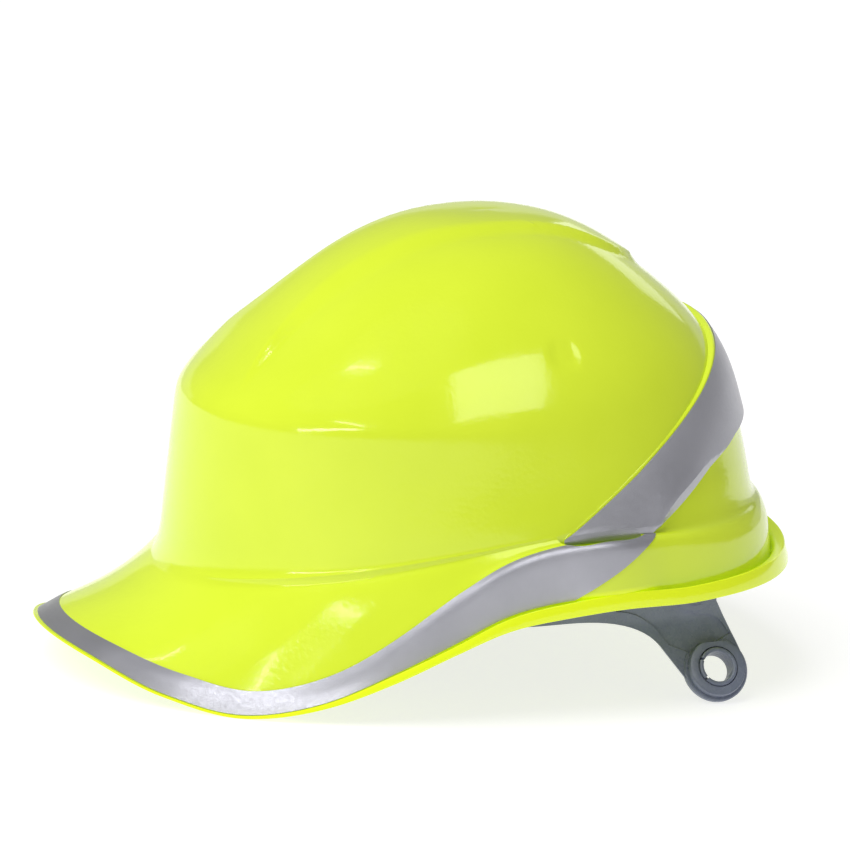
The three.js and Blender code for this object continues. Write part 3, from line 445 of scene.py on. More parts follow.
def box_prism(name, x, y, z, matrix=LAYOUT):
    """A block between two ends on each axis."""
    return prism(name, [(x[0], y[0]), (x[1], y[0]), (x[1], y[1]), (x[0], y[1])], *z, "z", matrix)


def lathe(name, profile, matrix, count=96):
    """A (radius, height) profile turned about the local Z axis. It ends on the axis or closes on itself."""
    turns = np.arange(count) * 2 * np.pi / count
    radius, height = np.array(profile, float).T
    x = radius[:, None] * np.cos(turns)
    y = radius[:, None] * np.sin(turns)
    z = np.broadcast_to(height[:, None], x.shape)
    faces = grid_faces(len(profile), count, loop=True)
    if radius[0] > 0:
        last = (len(profile) - 1) * count
        faces += [[last + j, last + (j + 1) % count, (j + 1) % count, j] for j in range(count)]
    made = new_object(name, np.stack([x, y, z], -1), faces, matrix)
    bm = bmesh.new()
    bm.from_mesh(made.data)
    bmesh.ops.remove_doubles(bm, verts=bm.verts, dist=1e-7)
    bm.to_mesh(made.data)
    bm.free()
    return outward(made)


def rod(name, radius, low, high, matrix, count=72):
    """A round rod along the local Z axis."""
    return lathe(name, [(0, low), (radius, low), (radius, high), (0, high)], matrix, count)


def finish_piece(obj, name, body, slot, material, *nodes, sharp=35):
    """Names and shades a piece, gives it its material and its body, and hides the CAD parts that it stands
    for.
    """
    obj.name = name
    shade(obj, sharp)
    obj.data.materials.clear()
    obj.data.materials.append(material)
    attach(obj, body)
    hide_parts(*nodes)
    return obj


# ---------------------------------------------------------------- materials
def srgb(red, green, blue):
    """A screen colour from 0 to 255 as the shader's linear colour."""
    linear = []
    for part in (red, green, blue):
        c = part / 255
        linear.append(c / 12.92 if c <= 0.04045 else ((c + 0.055) / 1.055) ** 2.4)
    return (*linear, 1)


class Material:
    """A node material on the plain shader, with short ways to wire textures into it."""

    def __init__(self, name, color, roughness, **sockets):
        self.material = bpy.data.materials.new(name)
        self.material.use_nodes = True
        self.nodes = self.material.node_tree.nodes
        self.links = self.material.node_tree.links
        self.shader = self.nodes["Principled BSDF"]
        self.shader.inputs["Base Color"].default_value = color
        self.shader.inputs["Roughness"].default_value = roughness
        for socket, value in sockets.items():
            self.shader.inputs[socket.replace("_", " ")].default_value = value

    def node(self, kind, links=None, **settings):
        made = self.nodes.new("ShaderNode" + kind)
        for key, value in settings.items():
            if key in made.inputs:
                made.inputs[key].default_value = value
            else:
                setattr(made, key, value)
        for socket, source in (links or {}).items():
            self.links.new(source, made.inputs[socket])
        return made

    def position(self):
        return self.node("TexCoord").outputs["Object"]

    def noise(self, scale, detail=2.0):
        return self.node("TexNoise", {"Vector": self.position()}, Scale=scale, Detail=detail).outputs["Fac"]

    def ramp(self, value, low, high, color_low, color_high):
        ramp = self.node("ValToRGB", {"Fac": value})
        ramp.color_ramp.elements[0].position = low
        ramp.color_ramp.elements[0].color = color_low
        ramp.color_ramp.elements[1].position = high
        ramp.color_ramp.elements[1].color = color_high
        return ramp.outputs["Color"]

    def range(self, value, from_min, from_max, to_min, to_max):
        limits = {"From Min": from_min, "From Max": from_max, "To Min": to_min, "To Max": to_max}
        return self.node("MapRange", {"Value": value}, **limits).outputs["Result"]

    def bump(self, height, distance, strength=1.0):
        bump = self.node("Bump", {"Height": height}, Distance=distance, Strength=strength)
        self.set("Normal", bump.outputs["Normal"])
        return self.material

    def set(self, socket, value):
        self.links.new(value, self.shader.inputs[socket])


def shell_material():
    """Injection-moulded plastic with a daylight-fluorescent dye, and a painted glow: emission lifts the
    shell, most at the rim's edges, with a brighter painted yellow there.
    """
    made = Material(
        "shell", srgb(222, 241, 54), 0.12, Coat_Weight=0.2, Coat_Roughness=0.05, Specular_IOR_Level=0.5,
        Emission_Color=srgb(205, 240, 10),
    )
    edge = made.node("Attribute", attribute_name="edge").outputs["Fac"]
    # Painted glow: emission, weak all over the shell and strongest on the gutter and lip, though the shell is
    # no lamp.
    made.set("Emission Strength", made.range(edge, 0, 1, 0.05, 0.17))
    plain = made.ramp(made.noise(24, 3), 0.3, 0.7, srgb(217, 237, 48), srgb(222, 241, 54))
    # Painted light: a brighter yellow on the gutter and lip, as if they were lit more strongly.
    mix = made.node("Mix", data_type="RGBA")
    factor, plain_colour, painted_glow_colour = (mix.inputs[k] for k in (0, 6, 7))
    made.links.new(edge, factor)
    made.links.new(plain, plain_colour)
    painted_glow_colour.default_value = srgb(232, 246, 26)
    made.set("Base Color", mix.outputs[2])
    made.set("Roughness", made.range(made.noise(90, 4), 0.35, 0.65, 0.09, 0.14))
    return made.bump(made.noise(520, 1), 0.00004)


def tape_material():
    """Retroreflective tape: a silver film over tiny glass beads."""
    made = Material(
        "reflective tape", srgb(178, 178, 186), 0.34, Metallic=0.7, Sheen_Weight=0.25, Sheen_Roughness=0.4,
    )
    beads = made.node("TexVoronoi", {"Vector": made.position()}, Scale=2600).outputs["Distance"]
    made.set("Base Color", made.ramp(made.noise(38, 4), 0.3, 0.72, srgb(172, 172, 180), srgb(183, 183, 191)))
    made.set("Roughness", made.range(made.noise(700, 2), 0.3, 0.7, 0.34, 0.44))
    return made.bump(beads, 0.00003, 0.6)


def plastic_material(name, color, roughness):
    """Moulded nylon: a fine spark-eroded grain, slightly uneven colour and polished high spots."""
    made = Material(name, color, roughness)
    darker = tuple(0.86 * part for part in color[:3]) + (1,)
    lighter = tuple(min(1.08 * part, 1) for part in color[:3]) + (1,)
    made.set("Base Color", made.ramp(made.noise(60, 5), 0.3, 0.7, darker, lighter))
    made.set("Roughness", made.range(made.noise(260, 3), 0.3, 0.7, roughness - 0.07, roughness + 0.07))
    return made.bump(made.noise(900, 3), 0.00003)


def webbing_material():
    """Dark polyester webbing. The weave itself is in the mesh, and this adds the yarn's fibres."""
    made = Material("webbing", srgb(46, 48, 53), 0.82, Sheen_Weight=0.35, Sheen_Roughness=0.5)
    ribs = made.node("TexWave", {"Vector": made.position()}, Scale=900, Distortion=2.0, Detail=2.0)
    made.set("Base Color", made.ramp(ribs.outputs["Fac"], 0.1, 0.9, srgb(32, 34, 38), srgb(62, 64, 70)))
    return made.bump(made.noise(3200, 2), 0.00006)


def towelling_material():
    """The soft band's looped cotton, with painted shade darkening the hollows between the loops."""
    made = Material("towelling", srgb(44, 46, 50), 0.95, Sheen_Weight=0.6, Sheen_Roughness=0.6)
    loops = made.node("TexVoronoi", {"Vector": made.position()}, Scale=950).outputs["Distance"]
    # Painted shade: the colour darkens towards the hollows between the loops, where the bump sinks.
    made.set("Base Color", made.ramp(loops, 0.05, 0.6, srgb(66, 68, 74), srgb(30, 31, 35)))
    return made.bump(loops, -0.00035)


def steel_material():
    """Brushed spring steel."""
    made = Material("spring steel", srgb(176, 179, 184), 0.28, Metallic=1.0)
    brushed = made.node("Mapping", {"Vector": made.position()}, Scale=(60, 60, 2500))
    streaks = made.node("TexNoise", {"Vector": brushed.outputs["Vector"]}, Scale=1.0).outputs["Fac"]
    made.set("Roughness", made.range(streaks, 0.3, 0.7, 0.2, 0.38))
    return made.bump(streaks, 0.00001)


def floor_material():
    """A pale plain floor, lit up to white."""
    grey, duller = [(level, level, level, 1) for level in (0.35, 0.35 * 0.99)]
    made = Material("floor", grey, 0.8, Emission_Color=(1, 1, 1, 1), Emission_Strength=0.75)
    made.set("Base Color", made.ramp(made.noise(4, 2), 0.2, 0.8, grey, duller))
    return made.material


SHELL = shell_material()
REFLECTIVE = tape_material()
SLATE = plastic_material("slate plastic", srgb(117, 124, 142), 0.28)
SLATE_DARK = plastic_material("slate plastic dark", srgb(106, 112, 125), 0.42)
WEBBING = webbing_material()
TOWELLING = towelling_material()
STEEL = steel_material()


# ---------------------------------------------------------------- the shell
TURN_ANGLES = -np.pi / 2 + np.arange(COLUMNS) * 2 * np.pi / COLUMNS


def rows_between(*stops):
    """Surface levels from stop to stop, where each stop is (t, number of rows from there)."""
    pairs = zip(stops, stops[1:])
    runs = [np.linspace(t, after[0], count, endpoint=False) for (t, count), after in pairs]
    return np.append(np.concatenate(runs), stops[-1][0])


def skin_rows(parameters, lift=0.0):
    return skin(TURN_ANGLES, np.array(parameters)[:, None], lift)


def rounded(points, radius, steps=3):
    """Rounds the inner corners of rows of points: each corner becomes a short run of points."""
    rows = [points[0]]
    for before, corner, after in zip(points, points[1:], points[2:]):
        back = before - corner
        ahead = after - corner
        back_length = np.linalg.norm(back, axis=-1, keepdims=True)
        ahead_length = np.linalg.norm(ahead, axis=-1, keepdims=True)
        cut = np.minimum(radius, 0.45 * np.minimum(back_length, ahead_length))
        start = corner + back / back_length * cut
        end = corner + ahead / ahead_length * cut
        for s in np.linspace(0, 1, steps + 1):
            rows.append((1 - s) ** 2 * start + 2 * s * (1 - s) * corner + s * s * end)
    rows.append(points[-1])
    return rows


def shell_body():
    """The skin from the apex over the rim, round the gutter and the lip, and back up the inside."""
    stops = ((0.04, 40), (4.4, 18), (5, 18), (5.6, 20), (7.5, 18), (8, 18), (8.5, 38), (RIM_T, 1))
    outside = list(skin_rows(rows_between(*stops)))
    lips = [ring_points(r, TURN_ANGLES) for r in LIP_RINGS]
    inside_t = [RIM_T, *np.linspace(12.5, 10, 7), *np.linspace(9.6, 4, 12), *np.linspace(3.4, 0.06, 6)]
    t = np.array(inside_t)[:, None]
    inside = list(surface(TURN_ANGLES, t) - SHELL_THICKNESS * normals(TURN_ANGLES, t))
    foot = lips[-1]
    inside[0][:, 2] = np.minimum(inside[0][:, 2], foot[:, 2] + 0.2)
    for row in inside:
        row[:, 2] = np.maximum(row[:, 2], foot[:, 2])
    gutter_and_lip = rounded([outside[-1], *lips, inside[0], inside[1]], 0.9)[1:-1]
    rows = outside[:-1] + gutter_and_lip + inside[1:]
    return capped("shell_skin", rows, rows[0].mean(0), rows[-1].mean(0))


def slot_outline(room=0.0):
    """A lens in plan: flat towards the shell and bowed outwards."""
    y, half, inner, width = SLOT["y"], SLOT["half"] + room, SLOT["inner"], SLOT["width"]
    along = np.linspace(-1, 1, 33)
    bowed = [(inner + (width + room) * (1 - abs(u) ** 3), y + half * u) for u in along]
    flat = [(inner - room, y + half * u) for u in along[::-1][1:-1]]
    return bowed + flat


def cut_slots(obj, bottom, room=0.0):
    """Cuts both sides' accessory slots out of a piece."""
    for side in (1, -1):
        outline = [(side * x, y) for x, y in slot_outline(room)]
        boolean(obj, prism("slot", outline, bottom, SLOT["top"], "z"), "DIFFERENCE")


def pocket(side):
    """The walls of the slot that an accessory's plug slides down into."""
    x = sorted([side * (SLOT["inner"] - POCKET["in"]), side * (SLOT["inner"] + POCKET["out"])])
    half = SLOT["half"] - POCKET["ends"]
    return box_prism("pocket", x, (SLOT["y"] - half, SLOT["y"] + half), (POCKET["low"], POCKET["high"]))


def wall_point(degrees, inset):
    """A place in plan inside the shell's wall, level with the clips."""
    wall = SHELL_RINGS[5]
    away = SHELL_THICKNESS + inset
    plan = {**wall, "half": wall["half"] - away, "front": wall["front"] + away, "rear": wall["rear"] - away}
    x, y, _ = ring_points(plan, np.array([math.radians(degrees)]))[0]
    return Vector((x, y, 0))


def wall_tangent(degrees):
    return (wall_point(degrees + 2, 0) - wall_point(degrees - 2, 0)).normalized()


def at_wall(degrees, inset):
    """Takes a piece built at the origin, facing +X, to its place on the wall."""
    tangent = wall_tangent(degrees)
    turn = math.atan2(tangent.y, tangent.x) - math.pi / 2
    return LAYOUT @ Matrix.Translation(wall_point(degrees, inset)) @ Matrix.Rotation(turn, 4, "Z")


def clip_rib(degrees, side):
    """A rib inside the wall that guides a clip."""
    offset = side * (CLIP["width"] / 2 + 1.6)
    low = CLIP["low"] + 2
    high = CLIP["low"] + CLIP["height"] - 2
    rib = box_prism("rib", (-3.4, 1.4), (offset - 1, offset + 1), (low, high), at_wall(degrees, 0))
    return bevel(rib, 0.4)


def filled_shell():
    """The shell's outside with nothing hollow under it, which trims what is added inside."""
    inset = 0.4
    rows = list(skin_rows([*np.linspace(0.04, 10, 40), *np.linspace(10.4, RIM_T, 10)], -inset))
    rows += [ring_points(r, TURN_ANGLES) - np.array([0, 0, inset]) for r in LIP_RINGS]
    return capped("filled", rows, rows[0].mean(0), (0, 0, -60))


def mark_painted_glow(obj):
    """Marks the gutter and the lip outside the rim, where the shell gets its painted glow and brighter
    painted yellow.
    """
    to_layout = np.array(LAYOUT.inverted())
    x, y, z = (vertex_points(obj) @ to_layout[:3, :3].T + to_layout[:3, 3]).T
    rim, lip = SHELL_RINGS[-1], LIP_RINGS[1]
    y -= PLAN_CENTRE_Y
    reach = np.where(y < 0, PLAN_CENTRE_Y - rim["front"], rim["rear"] - PLAN_CENTRE_Y)
    power = np.where(y < 0, FRONT_POWER, rim["power"])
    outside = (np.abs(x) / rim["half"]) ** power + (np.abs(y) / reach) ** power - 1
    around = np.degrees(np.arctan2(y / reach, np.abs(x) / rim["half"]))
    over_lip, fade = 1.5, 0.03  # how far over the lip the glow ends, and how soon it starts at the rim
    below_top = keyed(lip["heights"], around) + over_lip - z
    edge = smooth(outside / fade) * smooth(below_top)
    # The mask is stored as the "edge" attribute, which the shell's painted glow and painted yellow read.
    obj.data.attributes.new("edge", "FLOAT", "POINT").data.foreach_set("value", edge.astype(np.float32))


def make_shell():
    body = shell_body()
    trim = filled_shell()
    for side in (1, -1):
        walls = pocket(side)
        apply_modifier(walls, "BOOLEAN", operation="INTERSECT", object=trim, solver="MANIFOLD")
        boolean(body, walls, "UNION")
    cut_slots(body, SLOT["bottom"])
    boolean(body, sash_band(), "UNION")
    for degrees in CLIPS.values():
        for side in (1, -1):
            boolean(body, clip_rib(degrees, side), "UNION")
    bpy.data.objects.remove(trim)
    mark_painted_glow(body)
    return finish_piece(body, "shell_outer", "root", "shell", SHELL, "shell", sharp=32)


# ---------------------------------------------------------------- the sash
SASH_ANGLES = np.radians(np.linspace(-12.5, 192.5, 380))
SASH_MIN_WIDTH = 2.4


def sash_surface(angle, t, rise):
    """The shell down to its wall's foot. From there the sash hangs straight down over the slot."""
    foot = SASH["foot_t"]
    p = skin(angle, np.minimum(t, foot), rise)
    p[..., 2] -= SASH["hang"] * np.maximum(t - foot, 0)
    return p


def level_where(height_over):
    """For each column of the sash, the t where a falling height crosses zero, found by halving."""
    low, high = np.full(len(SASH_ANGLES), 2.5), np.full(len(SASH_ANGLES), 9.6)
    for _ in range(24):
        middle = (low + high) / 2
        above = height_over(sash_surface(SASH_ANGLES, middle[None, :], 0)[0]) > 0
        low, high = np.where(above, middle, low), np.where(above, high, middle)
    return (low + high) / 2


def sash_frame():
    """The columns where the sash shows, its top and bottom levels and its width there in millimetres."""
    top = level_where(lambda p: p[:, 2] - sash_top(p[:, 1]))
    low = level_where(lambda p: p[:, 2] - np.maximum(sash_low(p[:, 1]), SASH["ledge"]))
    s = np.linspace(0, 1, 30)[:, None]
    down = sash_surface(SASH_ANGLES, top + (low - top) * s, 0)
    width = np.linalg.norm(np.diff(down, axis=0), axis=-1).sum(0)
    shown = (low > top) & (width > SASH_MIN_WIDTH)
    y = down[:, :, 1].mean(0)
    return SASH_ANGLES[shown], top[shown], low[shown], width[shown], y[shown]


SASH_FRAME = sash_frame()


def sash_rows(from_top, to_low):
    """Rows down the sash. Each is (t, rise), folded in along the facet over its lower edge."""
    _, top, low, width, y = SASH_FRAME
    facet = np.minimum(keyed(SASH_FACET, y), 0.4 * width)
    upper, lower = keyed(SASH_TOP_RISE, y), keyed(SASH_LOW_RISE, y)
    span = width - from_top - to_low
    flat = np.minimum(0.8, (width - from_top - facet) / span)
    downs = [from_top + span * flat * s for s in np.linspace(0, 1, 12)]
    downs += [from_top + span * (flat + (1 - flat) * s) for s in np.linspace(0, 1, 6)[1:]]
    rows = []
    for down in downs:
        fold = 0.25 + 0.75 * np.clip((width - down) / facet, 0, 1)
        rise = upper + (lower - upper) * smooth(down / (0.9 * (width - facet)))
        rows.append((top + (low - top) * down / width, rise * fold))
    return rows


def sash_grid(rows, lift):
    angle = SASH_FRAME[0]
    return np.stack([sash_surface(angle, t[None, :], (rise + lift)[None, :])[0] for t, rise in rows])


def sash_band():
    """The raised band that carries the rear tape, with a small rounded step along both edges."""
    angle, top, low, width, _ = SASH_FRAME
    rows = sash_rows(np.full(len(angle), SASH_BORDER), 0.5)
    per_mm = (low - top) / width
    first, last = rows[0][1], rows[-1][1]
    above = [(-0.4, -0.7, 0), (-0.1, -0.2, 0), (0.15, 0, 0.5), (0.4, 0, 0.85), (0.65, 0, 0.97)]
    below = [(0.25, 0, 0.8), (0.05, 0, 0.4), (-0.1, -0.2, 0), (-0.4, -0.7, 0)]
    head = [(top + d * per_mm, lift + share * first) for d, lift, share in above]
    foot = [(low - d * per_mm, lift + share * last) for d, lift, share in below]
    rows = head + rows + foot
    sunk = np.full(len(angle), -1.4)
    return slab("sash_band", sash_grid(rows, 0), sash_grid([(t, sunk) for t, _ in rows], 0))


# ---------------------------------------------------------------- reflective tape
def edge_tape():
    """One ribbon round the peak's edge, back under both slots to the foot of the sash."""
    degrees = -90 + np.linspace(-TAPE["reach"], TAPE["reach"], 700)
    side = np.abs(degrees + 90) - 90
    top, foot = keyed(TAPE_EDGE, side), keyed(TAPE_FOOT, side)
    t = top + (foot - top) * np.linspace(0, 1, 12)[:, None]
    faces = [skin(np.radians(degrees), t, TAPE["lift"] + depth) for depth in (TAPE["thickness"], 0)]
    ribbon = slab("tape", *faces)
    behind = [(y, z + 0.4) for y, z in SASH_LOWER_EDGE] + [(140, -90), (-20, -90)]
    boolean(ribbon, prism("behind", behind, -THROUGH, THROUGH, "x"), "DIFFERENCE")
    cut_slots(ribbon, -4, 0.5)
    nodes = ("tape_peak", "tape_left", "tape_right")
    return finish_piece(ribbon, "tape_edge", "root", "reflective_tape", REFLECTIVE, *nodes, sharp=50)


def sash_tape():
    """The wide ribbon on the sash, from slot to slot round the back of the head."""
    rows = sash_rows(keyed(TAPE_INSET, SASH_FRAME[4]), 0.4)
    ribbon = slab("tape", *[sash_grid(rows, TAPE["lift"] + depth) for depth in (TAPE["thickness"], 0)])
    return finish_piece(ribbon, "tape_sash", "root", "reflective_tape", REFLECTIVE, "tape_rear", sharp=9)


# ---------------------------------------------------------------- the headband
ALONG_X = Matrix.Rotation(math.pi / 2, 4, "Y")  # takes a piece turned about Z to the X axis


def flare(z):
    """How far the arms lean out below the rim: a bend, then a straight slope."""
    down = np.maximum(FLARE["start"] - np.asarray(z, float), 0)
    bent = np.minimum(down, FLARE["bend"])
    return FLARE["slope"] * bent * bent / (2 * FLARE["bend"]) + FLARE["slope"] * (down - bent)


def band_path(inset, rear_end, steps=72):
    """The headband's plan: half an oval round the forehead, then straight back along the temples."""
    half, front, straight = HEADBAND["half"] - inset, HEADBAND["front"] + inset, HEADBAND["straightY"]
    angle = -np.pi + np.arange(steps + 1) * np.pi / steps
    oval = np.stack([half * np.cos(angle), straight + (straight - front) * np.sin(angle)], -1)
    back = np.linspace(rear_end, straight, 40)[:-1]
    left = np.stack([np.full(len(back), -half), back], -1)
    right = np.stack([np.full(len(back), half), back[::-1]], -1)
    return np.concatenate([left, oval, right])


def band_slab(name, inset, thickness, heights, rear_end):
    """A strip of the headband's plan, which leans out with the arms below the rim."""
    path = band_path(inset, rear_end)
    inner = band_path(inset + thickness, rear_end)
    out = unit(path - inner)

    def grid(points):
        lean = flare(heights)[None, :, None] * out[:, None, :]
        level = np.broadcast_to(np.asarray(heights, float)[None, :, None], (len(points), len(heights), 1))
        return np.concatenate([points[:, None, :] + lean, level], -1)

    return slab(name, grid(path), grid(inner))


EYELET_TILT = math.atan(FLARE["slope"])
EYELET_X = HEADBAND["half"] - HEADBAND["thickness"] / 2 + float(flare(EYELET["z"]))


def mirrored(side):
    """The layout, mirrored to the cap's right for side -1."""
    return LAYOUT if side > 0 else LAYOUT @ Matrix.Scale(-1, 4, (1, 0, 0))


def at_eyelet(side):
    """Takes a piece turned about Z to an arm's eyelet, facing out and up."""
    place = Matrix.Translation((EYELET_X, EYELET["y"], EYELET["z"]))
    tilt = Matrix.Rotation(-EYELET_TILT, 4, "Y")
    return mirrored(side) @ place @ tilt @ ALONG_X


def at_pivot(side):
    """Takes a piece turned about Z to the nape strap's stud, facing out."""
    return mirrored(side) @ Matrix.Translation((HEADBAND["half"], PIVOT["y"], PIVOT["z"])) @ ALONG_X


def quadratic(start, control, end, steps=12):
    s = np.linspace(0, 1, steps + 1)[:, None]
    points = (1 - s) ** 2 * np.array(start) + 2 * s * (1 - s) * np.array(control) + s * s * np.array(end)
    return [tuple(p) for p in points]


def headband_outline():
    """The headband in side view, (y, z)."""
    low, high, front = HEADBAND["low"], HEADBAND["high"], HEADBAND["front"]
    y, z = EYELET["y"], EYELET["z"]
    outline = [(front - 20, low)]
    outline += quadratic((10, low), (38, low), (47, -23))
    outline += [(y - 11.5, z - 4)]
    outline += [(y + 12.2, z + 2)]
    outline += quadratic((y + 12.2, z + 2), (y + 11.5, -25), (PIVOT["y"] + 9.5, -8))
    outline += circle(10, 16, (PIVOT["y"], PIVOT["z"]), 0, math.pi / 2.6)
    outline += quadratic((58, high), (54, high), (48, high))
    outline += [(front - 20, high)]
    return outline


def arm_recess_outline():
    """The face of an arm between its rims, sunk a little below them."""
    low = HEADBAND["low"]
    y, z = EYELET["y"], EYELET["z"]
    outline = quadratic((30, low + 3), (43, low + 2), (50.5, -23))
    outline += [(y - 8, z + 6), (y + 8.6, z + 12)]
    outline += quadratic((y + 7.5, -20), (y + 4, -12), (PIVOT["y"] + 2, -13))
    outline += [(48, -6), (32, -4)]
    return outline


def hanger(degrees):
    """A tab from the headband's top edge up to just under a clip."""
    start, bend = 8, 13  # the heights of the tab's foot and of where it starts to lean out
    top = wall_point(degrees, CLIP["wallGap"] + CLIP["depth"] / 2)
    direction = math.atan2(top.y - PLAN_CENTRE_Y, top.x)
    path = band_path(HEADBAND["thickness"] / 2, 80)
    turns = np.arctan2(path[:, 1] - PLAN_CENTRE_Y, path[:, 0])
    gap = np.abs((turns - direction + np.pi) % (2 * np.pi) - np.pi)
    foot = path[np.argmin(gap)]
    across = np.array([-math.sin(direction), math.cos(direction), 0]) * 7
    out = np.array([math.cos(direction), math.sin(direction), 0])
    s = np.linspace(0, 1, 17)
    height = start + (CLIP["low"] - GAP - start) * s
    lean = smooth((height - bend) / (CLIP["low"] - 4 - bend))[:, None]
    centre = np.concatenate([foot + (np.array([top.x, top.y]) - foot) * lean, height[:, None]], -1)
    width = np.linspace(-1, 1, 7)
    narrow = 1 - 0.25 * np.sin(np.pi * s)
    spread = centre[:, None] + across * width[None, :, None] * narrow[:, None, None]
    return slab("hanger", spread - 0.3 * out, spread + 1.6 * out)


def eyelet_boss(side):
    """The round boss, with a rounded rim and a flat on its top edge."""
    high = EYELET["plateThickness"] / 2 + EYELET["bossHeight"]
    radius = EYELET["boss"]
    rim = [(radius, high - 1.1), (radius - 0.35, high - 0.3), (radius - 1.1, high)]
    boss = lathe("boss", [(0, 0), (radius, 0), *rim, (0, high)], at_eyelet(side))
    flat_side = box_prism("flat", (-30, -radius + 1.6), (-30, 30), (-3, 12), at_eyelet(side))
    return boolean(boss, flat_side, "DIFFERENCE")


def eyelet_plate(side):
    """The thickened disc at the end of an arm."""
    half, radius, round_off = EYELET["plateThickness"] / 2, EYELET["plate"], 0.5
    return lathe("plate", [
        (0, -half), (radius - round_off, -half), (radius, -half + round_off),
        (radius, half - round_off), (radius - round_off, half), (0, half),
    ], at_eyelet(side))


def arm_recess(side, heights):
    """What is sunk into the outside of an arm."""
    recess = band_slab("recess", -4, 4.6, heights, HEADBAND["rearEnd"])
    boolean(recess, prism("arm", arm_recess_outline(), -THROUGH, THROUGH, "x"), "INTERSECT")
    side_block = box_prism("side", sorted([0, side * THROUGH]), (-10, 120), (-60, 30))
    return boolean(recess, side_block, "INTERSECT")


def make_headband():
    heights = np.concatenate([np.linspace(20, -11, 12), np.linspace(-12, -24, 13), np.linspace(-26, -48, 8)])
    band = band_slab("band", 0, HEADBAND["thickness"], heights, HEADBAND["rearEnd"])
    boolean(band, prism("outline", headband_outline(), -THROUGH, THROUGH, "x"), "INTERSECT")
    for side in (1, -1):
        pivot, eyelet = at_pivot(side), at_eyelet(side)
        boolean(band, eyelet_plate(side), "UNION")
        boolean(band, arm_recess(side, heights), "DIFFERENCE")
        boolean(band, eyelet_boss(side), "UNION")
        boolean(band, rod("pivot_boss", PIVOT["boss"], -1, PIVOT["bossHeight"], pivot), "UNION")
        boolean(band, rod("bore", BUSH["radius"] + GAP, -8, 12, eyelet), "DIFFERENCE")
        boolean(band, rod("pin", PIVOT["stud"] + GAP, -9, 9, pivot), "DIFFERENCE")
    for name in ("front_left", "rear_left", "rear_right", "front_right"):
        boolean(band, hanger(CLIPS[name]), "UNION")
    bevel(band, 0.45)
    finish_piece(band, "headband_moulding", "root", "slate_plastic", SLATE, "headband")
    return apply_modifier(band, "WEIGHTED_NORMAL", keep_sharp=True)


def make_bush(side, name):
    """A hollow snap bush in the eyelet, slit across its rim so that it can be squeezed in."""
    bore, radius, flange = BUSH["bore"], BUSH["radius"], BUSH["flange"]
    back = -EYELET["plateThickness"] / 2 - GAP
    end = back - BUSH["flangeThickness"]
    front = EYELET["plateThickness"] / 2 + EYELET["bossHeight"] + 0.7
    bush = lathe("bush", [
        (bore, end), (flange - 0.3, end), (flange, end + 0.3), (flange, back), (radius, back),
        (radius, front - 0.7), (radius - 0.2, front - 0.2), (radius - 0.7, front),
        (bore + 0.6, front), (bore + 0.15, front - 0.2), (bore, front - 0.6),
    ], at_eyelet(side))
    for turn in (-143, 150):
        across = at_eyelet(side) @ Matrix.Rotation(math.radians(turn), 4, "Z")
        slit = box_prism("slit", (-0.5, 0.5), (0, radius + 3), (front - 2.2, front + 4), across)
        boolean(bush, slit, "DIFFERENCE")
    node = f"eyelet_bush_{name}"
    return finish_piece(bush, f"eyelet_snap_bush_{name}", "root", "slate_plastic", SLATE, node)


def make_stud(side, name):
    """The stud that the nape strap swings on: a pin with a round head."""
    face = PIVOT["bossHeight"] + GAP
    pin, head, end = PIVOT["stud"], 6.4, -8.5
    stud = lathe("stud", [
        (0, end), (pin - 0.6, end), (pin, end + 0.6), (pin, face), (head, face), (head, face + 1.1),
        (head - 0.5, face + 1.65), (head - 1.3, face + 1.8), (2.2, face + 1.8), (1.7, face + 1.3),
        (0, face + 1.2),
    ], at_pivot(side))
    node = f"pivot_stud_{name}"
    return finish_piece(stud, f"pivot_snap_stud_{name}", "root", "slate_plastic", SLATE_DARK, node)


# ---------------------------------------------------------------- the cradle
def make_clip(name, degrees):
    """A clip that hooks into the shell and holds the end of a strap in the slot in its top."""
    low, high, depth, half = CLIP["low"], CLIP["low"] + CLIP["height"], CLIP["depth"], CLIP["width"] / 2
    place = at_wall(degrees, CLIP["wallGap"] + depth / 2)
    cut = 3  # off the lower corners
    lower = [(-half, low + cut), (-half + cut, low), (half - cut, low), (half, low + cut)]
    clip = prism("clip", lower + [(half, high), (-half, high)], -depth / 2, depth / 2, "x", place)
    slot_half = STRAP["width"] / 2 + 2 * GAP
    mouth = box_prism("mouth", (-1.2, 1.2), (-slot_half, slot_half), (high - 6.2, high + 2), place)
    boolean(clip, mouth, "DIFFERENCE")
    window = box_prism("window", (-6, 6), (-6, 6), (low + 3.5, low + 8.5), place)
    boolean(clip, window, "DIFFERENCE")
    bevel(clip, 0.5)
    return finish_piece(clip, f"clip_{name}", "root", "slate_plastic", SLATE_DARK, f"anchor_clip_{name}")


